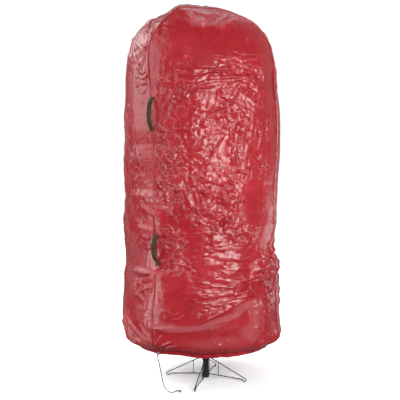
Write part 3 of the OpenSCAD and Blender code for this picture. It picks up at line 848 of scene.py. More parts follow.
# broad folds: (azimuth in degrees, height in m) points, crest in m, reach on the right and left of the line in m
BROAD = [
    ([(186, 1.175), (200, 1.190), (214, 1.186), (226, 1.180), (238, 1.164)], 0.022, 0.110, 0.035),
    ([(203, 1.150), (212, 1.112), (220, 1.082), (232, 1.030)], 0.014, 0.050, 0.030),
    ([(200, 1.010), (214, 0.995), (228, 0.990), (238, 0.975)], 0.009, 0.040, 0.022),
    ([(186, 0.745), (200, 0.752), (214, 0.745), (232, 0.722)], 0.010, 0.060, 0.022),
    ([(190, 0.640), (205, 0.610), (216, 0.560)], 0.009, 0.050, 0.025),
    ([(208, 0.428), (222, 0.436), (238, 0.452), (252, 0.482), (266, 0.530), (282, 0.585), (294, 0.610)], 0.014, 0.055, 0.032),
    ([(290, 0.745), (300, 0.765), (310, 0.800), (321, 0.845), (336, 0.865)], 0.024, 0.026, 0.058),
    ([(289, 0.690), (302, 0.700), (316, 0.735), (330, 0.750)], 0.015, 0.022, 0.036),
    ([(296, 0.600), (296, 0.520), (295, 0.440), (293, 0.370)], 0.012, 0.030, 0.045),
    ([(262, 1.245), (270, 1.190), (275, 1.120), (270, 1.040)], 0.008, 0.050, 0.030),
    ([(228, 1.330), (236, 1.270), (243, 1.190), (246, 1.090)], 0.009, 0.045, 0.030),
    ([(262, 1.700), (272, 1.600), (276, 1.480), (270, 1.340)], 0.009, 0.060, 0.035),
    ([(174, 0.475), (187, 0.415), (200, 0.368), (212, 0.328), (219, 0.296)], 0.016, 0.026, 0.014),
    ([(181, 0.500), (196, 0.436), (208, 0.382), (216, 0.335)], 0.011, 0.020, 0.011),
    ([(170, 0.425), (184, 0.376), (199, 0.334), (212, 0.296)], 0.014, 0.024, 0.013),
    ([(206, 0.455), (213, 0.405), (218, 0.350), (220, 0.310)], 0.010, 0.016, 0.009),
    ([(236, 0.372), (229, 0.338), (222, 0.300)], 0.010, 0.014, 0.010),
    ([(222, 0.420), (222, 0.360), (221, 0.305)], 0.008, 0.012, 0.008),
    ([(20, 0.80), (50, 0.77), (90, 0.79), (130, 0.83)], 0.010, 0.050, 0.030),
    ([(60, 1.42), (84, 1.36), (108, 1.40)], 0.009, 0.060, 0.035),
]


def global_shape(P):
    """Moves that every part of the bag shares, so that its parts stay joined."""
    x, y, z = P[..., 0], P[..., 1], P[..., 2]
    az = azimuth(P)
    r = np.hypot(x, y)
    run = np.radians(az) * 0.42
    up = smooth((z - 0.30) / 0.35)
    dx = 0.0045 * value2(run + 3.1, z, 0.42, 11) * up
    dy = 0.0045 * value2(run - 7.7, z + 2.0, 0.46, 12) * up
    dz = 0.0040 * value2(run + 1.7, z - 4.0, 0.38, 13) * up
    # pleats where the cord draws the hem in
    k = smooth((0.425 - z) / 0.155)
    c, s = np.cos(np.radians(az)), np.sin(np.radians(az))
    px, py = c * 0.404, s * 0.404
    lean = 0.10 * value2(px * 2.1, py * 2.1, 0.5, 19)
    a1 = value2(px + lean * (z - 0.26) * 4, py - lean * (z - 0.26) * 4, 0.058, 21)
    a2 = value2(px * 1.0 - 0.3 * (z - 0.26), py, 0.021, 22)
    pleat = (0.60 * (1 - 2.2 * np.abs(a1)) + 0.30 * (1 - 2.2 * np.abs(a2)))
    dr = 0.0085 * pleat * k * (0.45 + 0.75 * smooth(0.5 + 1.2 * value2(px, py, 0.17, 24)))
    for pts, h, w in LOW_FOLDS:
        q = [(math.radians(a) * 0.42, b) for a, b in pts]
        dr = dr + stroke(run, z, q, h, w, 1.6, 0.18)
    dx = dx + dr * x / np.maximum(r, 1e-6)
    dy = dy + dr * y / np.maximum(r, 1e-6)
    for pts, h, a, b in BROAD:
        q = [(math.radians(u) * 0.42, v) for u, v in pts]
        f = ledge(run, z, q, h, a, b)
        dx = dx + f * x / np.maximum(r, 1e-6)
        dy = dy + f * y / np.maximum(r, 1e-6)
    # shoulders of cloth beside the gathers
    dr = 0.017 * bump(az, 184, 199, 11) * bump(z, 0.275, 0.310, 0.040) + 0.019 * bump(az, 303, 325, 16) * bump(z, 0.268, 0.300, 0.038)
    dx = dx + dr * x / np.maximum(r, 1e-6)
    dy = dy + dr * y / np.maximum(r, 1e-6)
    dz = dz + np.interp(az, *zip(*HEM_LIFT)) * smooth((0.40 - z) / 0.14)
    xr = x * CAM_R[0] + y * CAM_R[1]
    dz = dz + np.interp(xr, *zip(*TOP_EDGE)) * smooth((z - 1.92) / 0.22)
    # the left front seam drifts forwards lower down
    drift = np.interp(z, [0.26, 0.34, 0.45, 0.62, 0.80, 0.95, 1.15, 1.30, 1.50, 1.70], [0, 0.006, 0.012, 0.016, 0.022, 0.024, 0.019, 0.014, 0.008, 0.0])
    ang = drift / np.maximum(r, 1e-6) * smooth(1 - np.abs(az - 221.0) / 62.0)
    ca, sa = np.cos(ang) - 1, np.sin(ang)
    dx = dx + x * ca - y * sa
    dy = dy + x * sa + y * ca
    # outline
    lx = np.interp(z, *zip(*LEFT_EDGE))
    rx = np.interp(z, *zip(*RIGHT_EDGE))
    k = smooth(np.abs(x) / 0.40)
    dx = dx + np.where(x < 0, -lx, rx) * k
    return P + np.stack([dx, dy, dz], -1)


# ---------------------------------------------------------------- front panel: folds and crumples
# each fold: points (metres right of the middle line, height), crest, width, how much wider its other side is
FRONT_FOLDS = [
    # top, hanging from the crown
    ([(-0.20, 2.235), (-0.13, 2.190), (-0.075, 2.130)], 0.024, 0.018, 2.0),
    ([(0.10, 2.235), (0.03, 2.190), (-0.055, 2.135)], 0.024, 0.017, 2.0),
    ([(-0.14, 2.225), (-0.08, 2.205), (0.00, 2.222)], 0.016, 0.012, 1.5),
    ([(-0.16, 2.190), (-0.11, 2.165), (-0.06, 2.150)], 0.014, 0.012, 1.5),
    ([(0.13, 2.205), (0.06, 2.165), (-0.02, 2.140)], 0.014, 0.013, 1.8),
    ([(-0.05, 2.215), (0.02, 2.200), (0.09, 2.215)], -0.006, 0.010, 1.0),
    ([(-0.24, 2.175), (-0.22, 2.120)], -0.004, 0.016, 1.5),
    # long cross folds below the smooth crown
    ([(0.04, 1.960), (0.13, 1.948), (0.20, 1.962), (0.27, 1.950)], 0.008, 0.011, 2.0),
    ([(-0.01, 1.935), (0.07, 1.928), (0.13, 1.938)], 0.005, 0.008, 1.6),
    ([(0.10, 1.985), (0.16, 1.982), (0.22, 1.990)], 0.005, 0.008, 1.6),
    ([(0.12, 1.915), (0.20, 1.905), (0.26, 1.880), (0.275, 1.868)], 0.010, 0.012, 2.2),
    ([(0.21, 1.935), (0.25, 1.905), (0.275, 1.870)], 0.007, 0.010, 1.8),
    ([(0.00, 1.895), (0.08, 1.885), (0.17, 1.890)], -0.006, 0.011, 1.4),
    ([(-0.12, 1.860), (-0.03, 1.850), (0.06, 1.856), (0.15, 1.845), (0.21, 1.855)], 0.009, 0.013, 1.8),
    ([(-0.25, 1.880), (-0.17, 1.868), (-0.11, 1.870)], 0.004, 0.010, 1.4),
    ([(-0.28, 1.845), (-0.20, 1.828), (-0.12, 1.838)], 0.005, 0.010, 1.4),
    ([(-0.06, 1.822), (0.03, 1.812), (0.12, 1.818), (0.19, 1.805)], 0.007, 0.011, 1.6),
    ([(0.02, 1.872), (0.11, 1.868), (0.18, 1.872)], -0.006, 0.010, 1.2),
    ([(0.295, 1.915), (0.285, 1.860), (0.272, 1.830)], 0.006, 0.009, 1.4),
    # foil folds sweeping down to the left
    ([(0.225, 1.840), (0.205, 1.780), (0.165, 1.740), (0.105, 1.705)], 0.010, 0.014, 1.8),
    ([(0.185, 1.800), (0.130, 1.760), (0.060, 1.735), (0.000, 1.700)], 0.008, 0.012, 1.8),
    ([(0.250, 1.790), (0.230, 1.735), (0.190, 1.690)], 0.007, 0.011, 1.6),
    ([(0.105, 1.730), (0.050, 1.690), (-0.010, 1.665), (-0.090, 1.655)], 0.007, 0.012, 1.6),
    ([(0.140, 1.690), (0.080, 1.655), (0.000, 1.640), (-0.100, 1.650)], 0.008, 0.012, 1.6),
    ([(-0.130, 1.665), (-0.110, 1.620), (-0.120, 1.590)], 0.006, 0.009, 1.4),
    ([(-0.085, 1.630), (-0.100, 1.600), (-0.130, 1.580)], 0.006, 0.009, 1.4),
    # upright band of big crumples
    ([(0.150, 1.690), (0.130, 1.610), (0.105, 1.530), (0.095, 1.440)], 0.010, 0.016, 1.5),
    ([(0.100, 1.690), (0.070, 1.620), (0.045, 1.550)], 0.008, 0.013, 1.5),
    ([(0.185, 1.660), (0.165, 1.580), (0.150, 1.500), (0.120, 1.430), (0.110, 1.330)], 0.009, 0.014, 1.6),
    ([(0.060, 1.560), (0.055, 1.480), (0.065, 1.400)], 0.007, 0.012, 1.5),
    ([(0.225, 1.640), (0.205, 1.570), (0.180, 1.500)], 0.006, 0.010, 1.4),
    ([(0.095, 1.480), (0.075, 1.410), (0.070, 1.340)], -0.007, 0.011, 1.3),
    ([(0.125, 1.420), (0.120, 1.350), (0.095, 1.290)], 0.007, 0.011, 1.5),
    ([(0.140, 1.560), (0.130, 1.500)], -0.007, 0.010, 1.3),
    # upright streaks by the right seam
    ([(0.270, 1.860), (0.262, 1.760), (0.255, 1.660)], 0.005, 0.009, 1.5),
    ([(0.305, 1.740), (0.300, 1.620), (0.290, 1.500)], 0.005, 0.010, 1.5),
    ([(0.240, 1.600), (0.232, 1.500), (0.215, 1.420)], 0.005, 0.009, 1.4),
    ([(0.330, 1.820), (0.335, 1.640), (0.330, 1.450)], 0.004, 0.010, 1.5),
    ([(0.285, 1.460), (0.290, 1.320), (0.285, 1.180)], 0.004, 0.010, 1.5),
    # left of the middle
    ([(-0.235, 1.800), (-0.240, 1.760), (-0.250, 1.720)], 0.007, 0.010, 1.4),
    ([(-0.300, 1.800), (-0.285, 1.760), (-0.275, 1.720)], 0.005, 0.010, 1.4),
    ([(-0.34, 1.700), (-0.26, 1.676), (-0.18, 1.690)], -0.005, 0.012, 1.4),
    ([(-0.33, 1.655), (-0.28, 1.610), (-0.24, 1.620)], 0.006, 0.010, 1.4),
    ([(-0.30, 1.650), (-0.26, 1.640), (-0.24, 1.600)], 0.005, 0.009, 1.4),
    ([(-0.37, 1.585), (-0.30, 1.570), (-0.20, 1.585), (-0.12, 1.570)], -0.005, 0.012, 1.6),
    ([(-0.36, 1.540), (-0.325, 1.480), (-0.320, 1.400)], 0.007, 0.011, 1.5),
    ([(-0.33, 1.500), (-0.30, 1.420), (-0.31, 1.350)], 0.006, 0.010, 1.4),
    ([(-0.26, 1.430), (-0.20, 1.410), (-0.14, 1.440)], 0.005, 0.010, 1.4),
    ([(-0.190, 1.440), (-0.150, 1.425), (-0.120, 1.435)], 0.005, 0.009, 1.3),
    ([(-0.115, 1.420), (-0.100, 1.360), (-0.105, 1.300), (-0.130, 1.250)], 0.010, 0.013, 1.7),
    ([(-0.160, 1.340), (-0.150, 1.290), (-0.165, 1.240)], 0.006, 0.010, 1.5),
    ([(-0.235, 1.330), (-0.215, 1.270), (-0.190, 1.215)], 0.008, 0.012, 1.6),
    ([(-0.345, 1.330), (-0.30, 1.300), (-0.27, 1.320)], 0.006, 0.011, 1.4),
    ([(-0.350, 1.270), (-0.29, 1.250), (-0.245, 1.215)], 0.006, 0.011, 1.4),
    ([(-0.345, 1.205), (-0.30, 1.185), (-0.255, 1.195)], 0.006, 0.010, 1.4),
    # big crumples in the middle
    ([(-0.12, 1.250), (-0.06, 1.215), (0.00, 1.235), (0.06, 1.205)], 0.010, 0.014, 1.6),
    ([(-0.15, 1.180), (-0.10, 1.150), (-0.04, 1.165), (0.01, 1.140)], 0.009, 0.013, 1.5),
    ([(0.085, 1.250), (0.075, 1.190), (0.040, 1.140), (0.010, 1.090)], 0.010, 0.013, 1.7),
    ([(-0.14, 1.110), (-0.08, 1.095), (-0.03, 1.060)], 0.008, 0.012, 1.5),
    ([(-0.17, 1.230), (-0.155, 1.150), (-0.160, 1.060), (-0.150, 1.010)], 0.009, 0.012, 1.6),
    ([(0.080, 1.150), (0.060, 1.090), (0.035, 1.030), (0.015, 1.000)], 0.010, 0.012, 1.8),
    ([(-0.05, 1.120), (0.00, 1.090), (0.02, 1.050)], 0.008, 0.011, 1.5),
    ([(-0.11, 1.060), (-0.06, 1.030), (-0.02, 0.995)], 0.008, 0.011, 1.5),
    ([(-0.04, 1.190), (-0.01, 1.130), (-0.02, 1.080)], -0.008, 0.010, 1.3),
    ([(0.05, 1.255), (0.03, 1.200), (0.045, 1.150)], -0.007, 0.010, 1.3),
    ([(-0.02, 1.295), (0.01, 1.250), (-0.01, 1.215)], 0.008, 0.011, 1.4),
    ([(-0.07, 1.010), (-0.02, 1.000), (0.02, 1.010)], 0.006, 0.010, 1.4),
    # left side: tightened diagonals
    ([(-0.375, 1.150), (-0.33, 1.110), (-0.285, 1.070), (-0.255, 1.020)], 0.010, 0.014, 2.0),
    ([(-0.370, 1.195), (-0.32, 1.170), (-0.26, 1.150), (-0.22, 1.150)], -0.007, 0.013, 1.4),
    ([(-0.345, 1.060), (-0.29, 1.020), (-0.24, 1.000)], -0.006, 0.013, 1.4),
    ([(-0.250, 1.210), (-0.235, 1.150), (-0.230, 1.100)], 0.007, 0.010, 1.5),
    ([(-0.200, 1.160), (-0.19, 1.110), (-0.185, 1.060)], 0.006, 0.009, 1.5),
    ([(-0.31, 0.990), (-0.27, 0.972), (-0.22, 0.985)], 0.006, 0.010, 1.4),
    ([(-0.33, 0.945), (-0.27, 0.930), (-0.23, 0.900)], 0.006, 0.010, 1.4),
    ([(-0.30, 0.905), (-0.25, 0.890), (-0.22, 0.930)], 0.006, 0.010, 1.4),
    ([(-0.33, 0.872), (-0.28, 0.860), (-0.24, 0.865)], 0.005, 0.009, 1.4),
    ([(-0.33, 0.815), (-0.27, 0.800), (-0.21, 0.812)], 0.006, 0.010, 1.4),
    ([(-0.32, 0.775), (-0.27, 0.765), (-0.23, 0.790)], 0.006, 0.010, 1.4),
    ([(-0.22, 0.790), (-0.26, 0.755), (-0.33, 0.735)], 0.006, 0.010, 1.6),
    # tightened cross folds, low
    ([(-0.13, 0.985), (-0.06, 0.978), (0.02, 0.985)], 0.006, 0.009, 1.6),
    ([(-0.16, 0.942), (-0.08, 0.936), (0.00, 0.942)], 0.005, 0.009, 1.6),
    ([(-0.12, 0.895), (-0.03, 0.887), (0.06, 0.893), (0.13, 0.885)], 0.006, 0.009, 1.6),
    ([(-0.14, 0.868), (-0.06, 0.862), (0.02, 0.868)], -0.005, 0.010, 1.2),
    ([(-0.06, 0.838), (0.03, 0.832), (0.10, 0.826), (0.17, 0.835)], 0.010, 0.011, 2.0),
    ([(-0.14, 0.805), (-0.08, 0.800), (-0.02, 0.806)], 0.008, 0.010, 1.8),
    ([(-0.02, 0.722), (0.04, 0.745), (0.09, 0.775), (0.13, 0.790)], 0.009, 0.011, 1.8),
    ([(-0.10, 0.715), (-0.02, 0.708), (0.05, 0.712)], 0.005, 0.009, 1.5),
    ([(0.08, 0.715), (0.14, 0.705), (0.21, 0.722), (0.25, 0.740)], 0.009, 0.011, 1.8),
    ([(-0.20, 0.655), (-0.15, 0.640), (-0.11, 0.612)], 0.006, 0.009, 1.5),
    ([(-0.07, 0.625), (0.00, 0.632), (0.06, 0.640)], 0.006, 0.010, 1.6),
    ([(-0.09, 0.575), (0.00, 0.562), (0.09, 0.580)], 0.005, 0.011, 1.6),
    ([(0.03, 0.552), (0.08, 0.560), (0.12, 0.566)], 0.006, 0.008, 1.4),
    ([(0.16, 0.880), (0.20, 0.910), (0.215, 0.960)], 0.006, 0.009, 1.5),
    ([(0.10, 0.930), (0.14, 0.905), (0.17, 0.945)], 0.006, 0.009, 1.5),
    ([(0.06, 1.010), (0.11, 1.040), (0.16, 1.020)], 0.005, 0.010, 1.5),
    ([(0.08, 0.975), (0.13, 0.990), (0.17, 0.975)], 0.005, 0.010, 1.5),
    # right waist
    ([(0.200, 0.795), (0.245, 0.815), (0.300, 0.838), (0.375, 0.885)], 0.026, 0.016, 1.6),
    ([(0.215, 0.735), (0.265, 0.745), (0.330, 0.780), (0.390, 0.800)], 0.018, 0.013, 1.6),
    ([(0.225, 0.772), (0.290, 0.785), (0.370, 0.830)], -0.016, 0.013, 1.4),
    ([(0.270, 0.700), (0.330, 0.720), (0.390, 0.735)], 0.014, 0.012, 1.6),
    ([(0.250, 0.680), (0.300, 0.650), (0.345, 0.660)], 0.008, 0.011, 1.5),
    ([(0.265, 0.620), (0.320, 0.615), (0.375, 0.640)], 0.008, 0.011, 1.5),
    ([(0.345, 0.690), (0.355, 0.630), (0.345, 0.560)], 0.008, 0.011, 1.5),
    ([(0.300, 0.590), (0.345, 0.560), (0.350, 0.520)], 0.007, 0.010, 1.5),
    ([(0.150, 0.660), (0.190, 0.640), (0.220, 0.600)], 0.005, 0.011, 1.5),
    # bottom: broad ridge, upright crease on the right
    ([(0.235, 0.540), (0.232, 0.470), (0.225, 0.400), (0.215, 0.360)], -0.011, 0.011, 1.6),
    ([(0.165, 0.560), (0.160, 0.480), (0.170, 0.400), (0.150, 0.340)], 0.008, 0.024, 1.2),
    ([(0.265, 0.530), (0.262, 0.450), (0.252, 0.380)], 0.007, 0.014, 1.3),
    ([(0.320, 0.560), (0.315, 0.480), (0.310, 0.420)], 0.006, 0.014, 1.4),
    ([(-0.34, 0.535), (-0.29, 0.525), (-0.25, 0.530)], 0.006, 0.010, 1.5),
    ([(-0.30, 0.490), (-0.26, 0.500), (-0.23, 0.525)], 0.005, 0.009, 1.5),
    ([(-0.375, 0.550), (-0.34, 0.540), (-0.31, 0.550)], 0.006, 0.009, 1.5),
    ([(-0.255, 0.620), (-0.16, 0.560)], 0.003, 0.010, 1.5),
]
# crumpled areas: centre, reach (s, z), turn, crumple heights at 60, 28 and 13 mm
FRONT_CRUMPLE = [
    (0.13, 1.82, 0.17, 0.13, 0, 0.9, 1.0, 1.0),
    (0.10, 1.66, 0.16, 0.13, 30, 1.2, 1.3, 1.1),
    (0.10, 1.48, 0.11, 0.22, 80, 1.1, 1.3, 1.1),
    (0.24, 1.62, 0.10, 0.25, 85, 0.5, 0.8, 0.9),
    (-0.04, 1.16, 0.15, 0.17, 20, 1.5, 1.9, 1.4),
    (-0.10, 1.35, 0.10, 0.14, 80, 0.8, 1.2, 1.0),
    (-0.31, 1.35, 0.09, 0.24, 70, 0.8, 1.4, 1.8),
    (-0.37, 1.45, 0.05, 0.20, 80, 0.9, 1.4, 2.1),
    (-0.24, 1.32, 0.12, 0.10, 10, 0.6, 1.2, 1.6),
    (-0.27, 1.80, 0.12, 0.14, 10, 0.4, 0.8, 1.0),
    (-0.24, 1.63, 0.12, 0.10, 10, 0.4, 0.8, 0.9),
    (-0.30, 0.93, 0.10, 0.09, 10, 0.7, 1.4, 2.0),
    (-0.28, 0.79, 0.09, 0.06, 10, 0.6, 1.4, 2.0),
    (0.02, 0.86, 0.20, 0.12, 0, 0.2, 0.3, 0.25),
    (0.11, 0.97, 0.10, 0.07, 30, 0.6, 1.0, 0.9),
    (0.35, 0.72, 0.09, 0.16, 40, 1.2, 1.8, 1.6),
    (-0.02, 1.87, 0.30, 0.06, 0, 0.2, 0.4, 0.35),
    (-0.10, 1.60, 0.22, 0.12, 10, 0.5, 0.6, 0.7),
    (-0.04, 2.20, 0.20, 0.07, 0, 0.4, 0.6, 0.6),
    (0.05, 0.66, 0.28, 0.08, 0, 0.2, 0.3, 0.2),
]


def crumple(s, z, areas, seed, calm):
    """Heights from the crumpled areas over a calm amount everywhere, and how scrunched each point is."""
    k1 = np.full(s.shape, calm[0])
    k2 = np.full(s.shape, calm[1])
    k3 = np.full(s.shape, calm[2])
    for cs, cz, rs, rz, turn, a, b, c in areas:
        e = ((s - cs) / rs) ** 2 + ((z - cz) / rz) ** 2
        e = e * (1 + 0.7 * value2(s, z, 0.09, seed + 3) + 0.4 * value2(s, z, 0.04, seed + 4))
        m = smooth((1.35 - e) / 0.7)
        k1 = np.maximum(k1, a * m)
        k2 = np.maximum(k2, b * m)
        k3 = np.maximum(k3, c * m)
    h = 0.0042 * k1 * planes(s, z, 0.095, seed, 1.4, 65)
    h = h + 0.0036 * k2 * planes(s, z, 0.050, seed + 10, 1.6, -35)
    k3 = k3 * (0.75 + 0.45 * smooth(0.5 + 1.3 * value2(s, z, 0.075, seed + 31)))
    return h, k3


def tension(s, z, seed, amount):
    """Fine nearly level pull wrinkles."""
    f = value2(s, z * 5.5, 0.085, seed) + 0.5 * value2(s, z * 6.5, 0.04, seed + 1)
    return amount * 0.0016 * (1 - np.abs(f)) ** 2


def ragged(s, z, seed):
    """Bends the coordinates a little, so that no drawn fold runs like a ruled curve."""
    a = 0.0045 * value2(s, z, 0.031, seed) + 0.0022 * value2(s, z, 0.014, seed + 1)
    b = 0.0045 * value2(s, z, 0.029, seed + 2) + 0.0022 * value2(s, z, 0.013, seed + 3)
    return s + a, z + b


def front_heights(s0, z0, u, r):
    d = np.zeros(s0.shape)
    s, z = ragged(s0, z0, 51)
    for f in FRONT_FOLDS:
        pts, h, w, side = f
        d = d + stroke(s, z, pts, h * 0.55, w, side)
    s, z = s0, z0
    c, rumple = crumple(s, z, FRONT_CRUMPLE, 100, (0.10, 0.18, 0.20))
    d = d + c
    d = d + 0.0035 * value2(s, z, 0.23, 41) * smooth((z - 0.35) / 0.2) * (1 - 0.85 * smooth((z - 1.90) / 0.1))
    d = d + 0.0055 * planes(s, z, 0.20, 43, 1.4, -30) * smooth((z - 0.35) / 0.2) * (1 - 0.8 * smooth((z - 1.88) / 0.1))
    low = bump(z, 0.58, 1.0, 0.08) * bump(s, -0.16, 0.24, 0.08)
    mid = bump(z, 1.80, 1.99, 0.04) * bump(s, -0.02, 0.27, 0.06)
    patch = smooth(0.5 + 1.6 * value2(s * 0.6, z, 0.055, 66))
    d = d + tension(s, z, 61, 0.15 + (1.0 * low + 1.2 * mid) * patch)
    return d, rumple


def pucker(run, q, seed):
    """Short wrinkles square to a seam, dying out away from it; q is the distance from the seam."""
    p = value2(run, q * 0.25, 0.017, seed) + 0.6 * value2(run, q * 0.3, 0.008, seed + 1)
    return 0.0019 * p * np.exp(-q / 0.035)


def seam_fade(q, soft=0.030):
    return smooth(q / soft)


q_front = np.minimum.reduce([arc(front0, 1), arc(front0, 1)[:, -1:] - arc(front0, 1)])
top_gap = arc(front0, 0)
top_gap = top_gap[-1:, :] - top_gap
q_front = np.minimum(q_front, top_gap)
foot = smooth((PZ - HEM_Z) / 0.035)
n_front = -normals_of(front0)
n_front *= np.sign(np.sum(n_front * (front0 * np.array([1, 1, 0])), -1, keepdims=True).mean())
run_front = np.where(np.abs(PU) > 0.9, PZ, FS + 5.0)
h_front, rum_front = front_heights(FS, FZ, PU, None)
h_front = h_front + pucker(run_front, q_front, 81)
d_front = h_front * seam_fade(q_front) * foot
front1 = global_shape(front0 + n_front * d_front[..., None])

# ---------------------------------------------------------------- back panel
rng = np.random.default_rng(7)
BACK_FOLDS = []
for _ in range(58):
    s0 = rng.uniform(-0.36, 0.36)
    z0 = rng.uniform(0.42, 2.10)
    turn = rng.normal(0, 0.5) + (math.pi / 2 if rng.random() < 0.35 else 0)
    ln = rng.uniform(0.06, 0.22)
    bend = rng.normal(0, 0.25)
    pts = []
    for k in (-0.5, 0.0, 0.5):
        pts.append((s0 + ln * k * math.cos(turn) - ln * bend * (0.25 - k * k) * math.sin(turn),
                    z0 + ln * k * math.sin(turn) + ln * bend * (0.25 - k * k) * math.cos(turn)))
    BACK_FOLDS.append((pts, rng.choice([-1, 1, 1]) * rng.uniform(0.004, 0.009), rng.uniform(0.008, 0.014), rng.uniform(1.2, 2.0)))
BACK_FOLDS += [
    ([(-0.30, 0.80), (-0.10, 0.77), (0.12, 0.79), (0.30, 0.83)], 0.010, 0.016, 1.8),
    ([(-0.32, 0.52), (-0.10, 0.47), (0.14, 0.46), (0.34, 0.50)], 0.012, 0.030, 1.3),
    ([(-0.15, 2.22), (-0.06, 2.14), (0.01, 2.06)], 0.009, 0.016, 1.8),
    ([(0.14, 2.22), (0.08, 2.13), (0.03, 2.07)], 0.008, 0.015, 1.8),
]
BACK_CRUMPLE = [
    (0.10, 1.75, 0.22, 0.16, 20, 0.9, 1.1, 0.9),
    (-0.14, 1.40, 0.16, 0.24, 80, 1.0, 1.3, 1.0),
    (0.20, 1.12, 0.14, 0.20, 20, 1.2, 1.5, 1.1),
    (-0.22, 0.86, 0.16, 0.12, 10, 0.8, 1.2, 1.1),
    (0.16, 0.66, 0.18, 0.10, 10, 0.8, 1.1, 1.0),
    (-0.26, 1.84, 0.12, 0.12, 10, 0.5, 0.9, 0.9),
]
n_back = n_front * np.array([1, -1, 1])
h_back, rum_back = crumple(FS, FZ, BACK_CRUMPLE, 300, (0.12, 0.22, 0.25))
for pts, h, w, side in BACK_FOLDS:
    h_back = h_back + stroke(FS, FZ, pts, h, w, side)
h_back = h_back + 0.0065 * value2(FS, FZ, 0.25, 341) + tension(FS, FZ, 361, 0.5)
h_back = h_back + pucker(run_front, q_front, 381)
d_back = h_back * seam_fade(q_front) * foot
back1 = global_shape(back0 + n_back * d_back[..., None])

# ---------------------------------------------------------------- side and top panel
q_gus = np.minimum(GQ, GQ[:, -1:] - GQ)
n_gus = normals_of(gus0)
cen = gus0 - np.array([0, 0, 1.2])
n_gus *= np.sign((n_gus * cen).sum(-1).mean())
g_side = np.where(gus0[..., 0] < 0, -1.0, 1.0)
gzz = gus0[..., 2]
# folds on the left side: (metres behind the front seam, height)
LEFT_FOLDS = [
    ([(0.030, 2.060), (0.022, 1.990), (0.030, 1.930)], -0.016, 0.016, 1.8),
    ([(0.060, 2.080), (0.055, 2.000), (0.050, 1.920)], 0.012, 0.014, 1.6),
    ([(0.120, 2.040), (0.090, 1.990), (0.070, 1.940)], 0.006, 0.010, 1.5),
    ([(0.160, 2.080), (0.130, 2.020), (0.115, 1.960)], 0.007, 0.010, 1.5),
    ([(0.220, 2.060), (0.190, 2.000), (0.180, 1.950)], 0.006, 0.010, 1.5),
    ([(0.020, 1.900), (0.045, 1.880), (0.070, 1.890)], 0.007, 0.009, 1.4),
    ([(0.015, 1.870), (0.040, 1.850), (0.075, 1.858)], 0.007, 0.009, 1.4),
    ([(0.015, 1.838), (0.045, 1.822), (0.070, 1.830)], 0.006, 0.009, 1.4),
    ([(0.020, 1.250), (0.070, 1.190), (0.130, 1.120), (0.180, 1.050)], 0.006, 0.014, 1.8),
    ([(0.015, 0.960), (0.060, 0.940), (0.120, 0.985)], 0.007, 0.012, 1.8),
    ([(0.015, 0.905), (0.050, 0.885), (0.110, 0.900)], 0.004, 0.010, 1.5),
    ([(0.020, 0.760), (0.080, 0.735), (0.160, 0.745), (0.240, 0.735)], 0.008, 0.012, 1.6),
    ([(0.030, 0.705), (0.100, 0.690), (0.180, 0.660), (0.230, 0.625)], 0.009, 0.013, 1.6),
    ([(0.020, 0.668), (0.070, 0.655), (0.130, 0.620), (0.170, 0.580)], 0.009, 0.012, 1.6),
    ([(0.030, 0.735), (0.110, 0.712), (0.200, 0.700)], -0.009, 0.011, 1.3),
    ([(0.030, 0.540), (0.080, 0.530), (0.130, 0.540)], 0.006, 0.010, 1.5),
    ([(0.240, 0.520), (0.200, 0.440), (0.150, 0.380)], 0.007, 0.014, 1.6),
]
RIGHT_FOLDS = [
    ([(0.020, 0.845), (0.080, 0.880), (0.150, 0.905)], 0.012, 0.013, 1.6),
    ([(0.015, 0.790), (0.090, 0.800), (0.170, 0.830)], -0.008, 0.012, 1.4),
    ([(0.020, 0.745), (0.090, 0.730), (0.170, 0.760)], 0.009, 0.012, 1.6),
    ([(0.020, 0.670), (0.080, 0.660), (0.150, 0.690)], 0.008, 0.012, 1.6),
    ([(0.020, 0.600), (0.080, 0.585), (0.150, 0.600)], 0.008, 0.012, 1.6),
    ([(0.020, 0.530), (0.080, 0.520), (0.140, 0.500)], 0.007, 0.011, 1.6),
    ([(0.050, 1.950), (0.075, 1.880), (0.085, 1.800)], 0.006, 0.012, 1.6),
    ([(0.060, 1.300), (0.075, 1.200), (0.070, 1.080)], 0.005, 0.012, 1.6),
]
SIDE_CRUMPLE_L = [
    (0.06, 1.86, 0.07, 0.09, 0, 0.5, 1.1, 1.0),
    (0.14, 2.02, 0.14, 0.08, 0, 0.3, 0.5, 0.4),
    (0.20, 1.30, 0.16, 0.22, 80, 0.6, 0.6, 0.6),
    (0.10, 0.66, 0.20, 0.10, 0, 0.6, 0.8, 0.7),
    (0.12, 0.50, 0.18, 0.10, 0, 0.4, 0.5, 0.4),
    (0.10, 0.92, 0.12, 0.05, 0, 0.3, 0.6, 0.7),
    (0.45, 1.10, 0.18, 0.30, 60, 0.8, 1.0, 0.8),
    (0.50, 1.75, 0.15, 0.20, 60, 0.6, 0.9, 0.8),
]
SIDE_CRUMPLE_R = [
    (0.08, 0.72, 0.14, 0.24, 0, 1.0, 1.5, 1.3),
    (0.42, 1.20, 0.18, 0.30, 60, 0.8, 1.0, 0.8),
    (0.44, 1.75, 0.15, 0.20, 60, 0.6, 0.9, 0.8),
]
h_l, rum_l = crumple(GQ, gzz, SIDE_CRUMPLE_L, 500, (0.05, 0.08, 0.12))
h_r, rum_r = crumple(GQ, gzz, SIDE_CRUMPLE_R, 600, (0.12, 0.20, 0.30))
for pts, h, w, side in LEFT_FOLDS:
    h_l = h_l + stroke(GQ, gzz, pts, h, w, side)
for pts, h, w, side in RIGHT_FOLDS:
    h_r = h_r + stroke(GQ, gzz, pts, h, w, side)
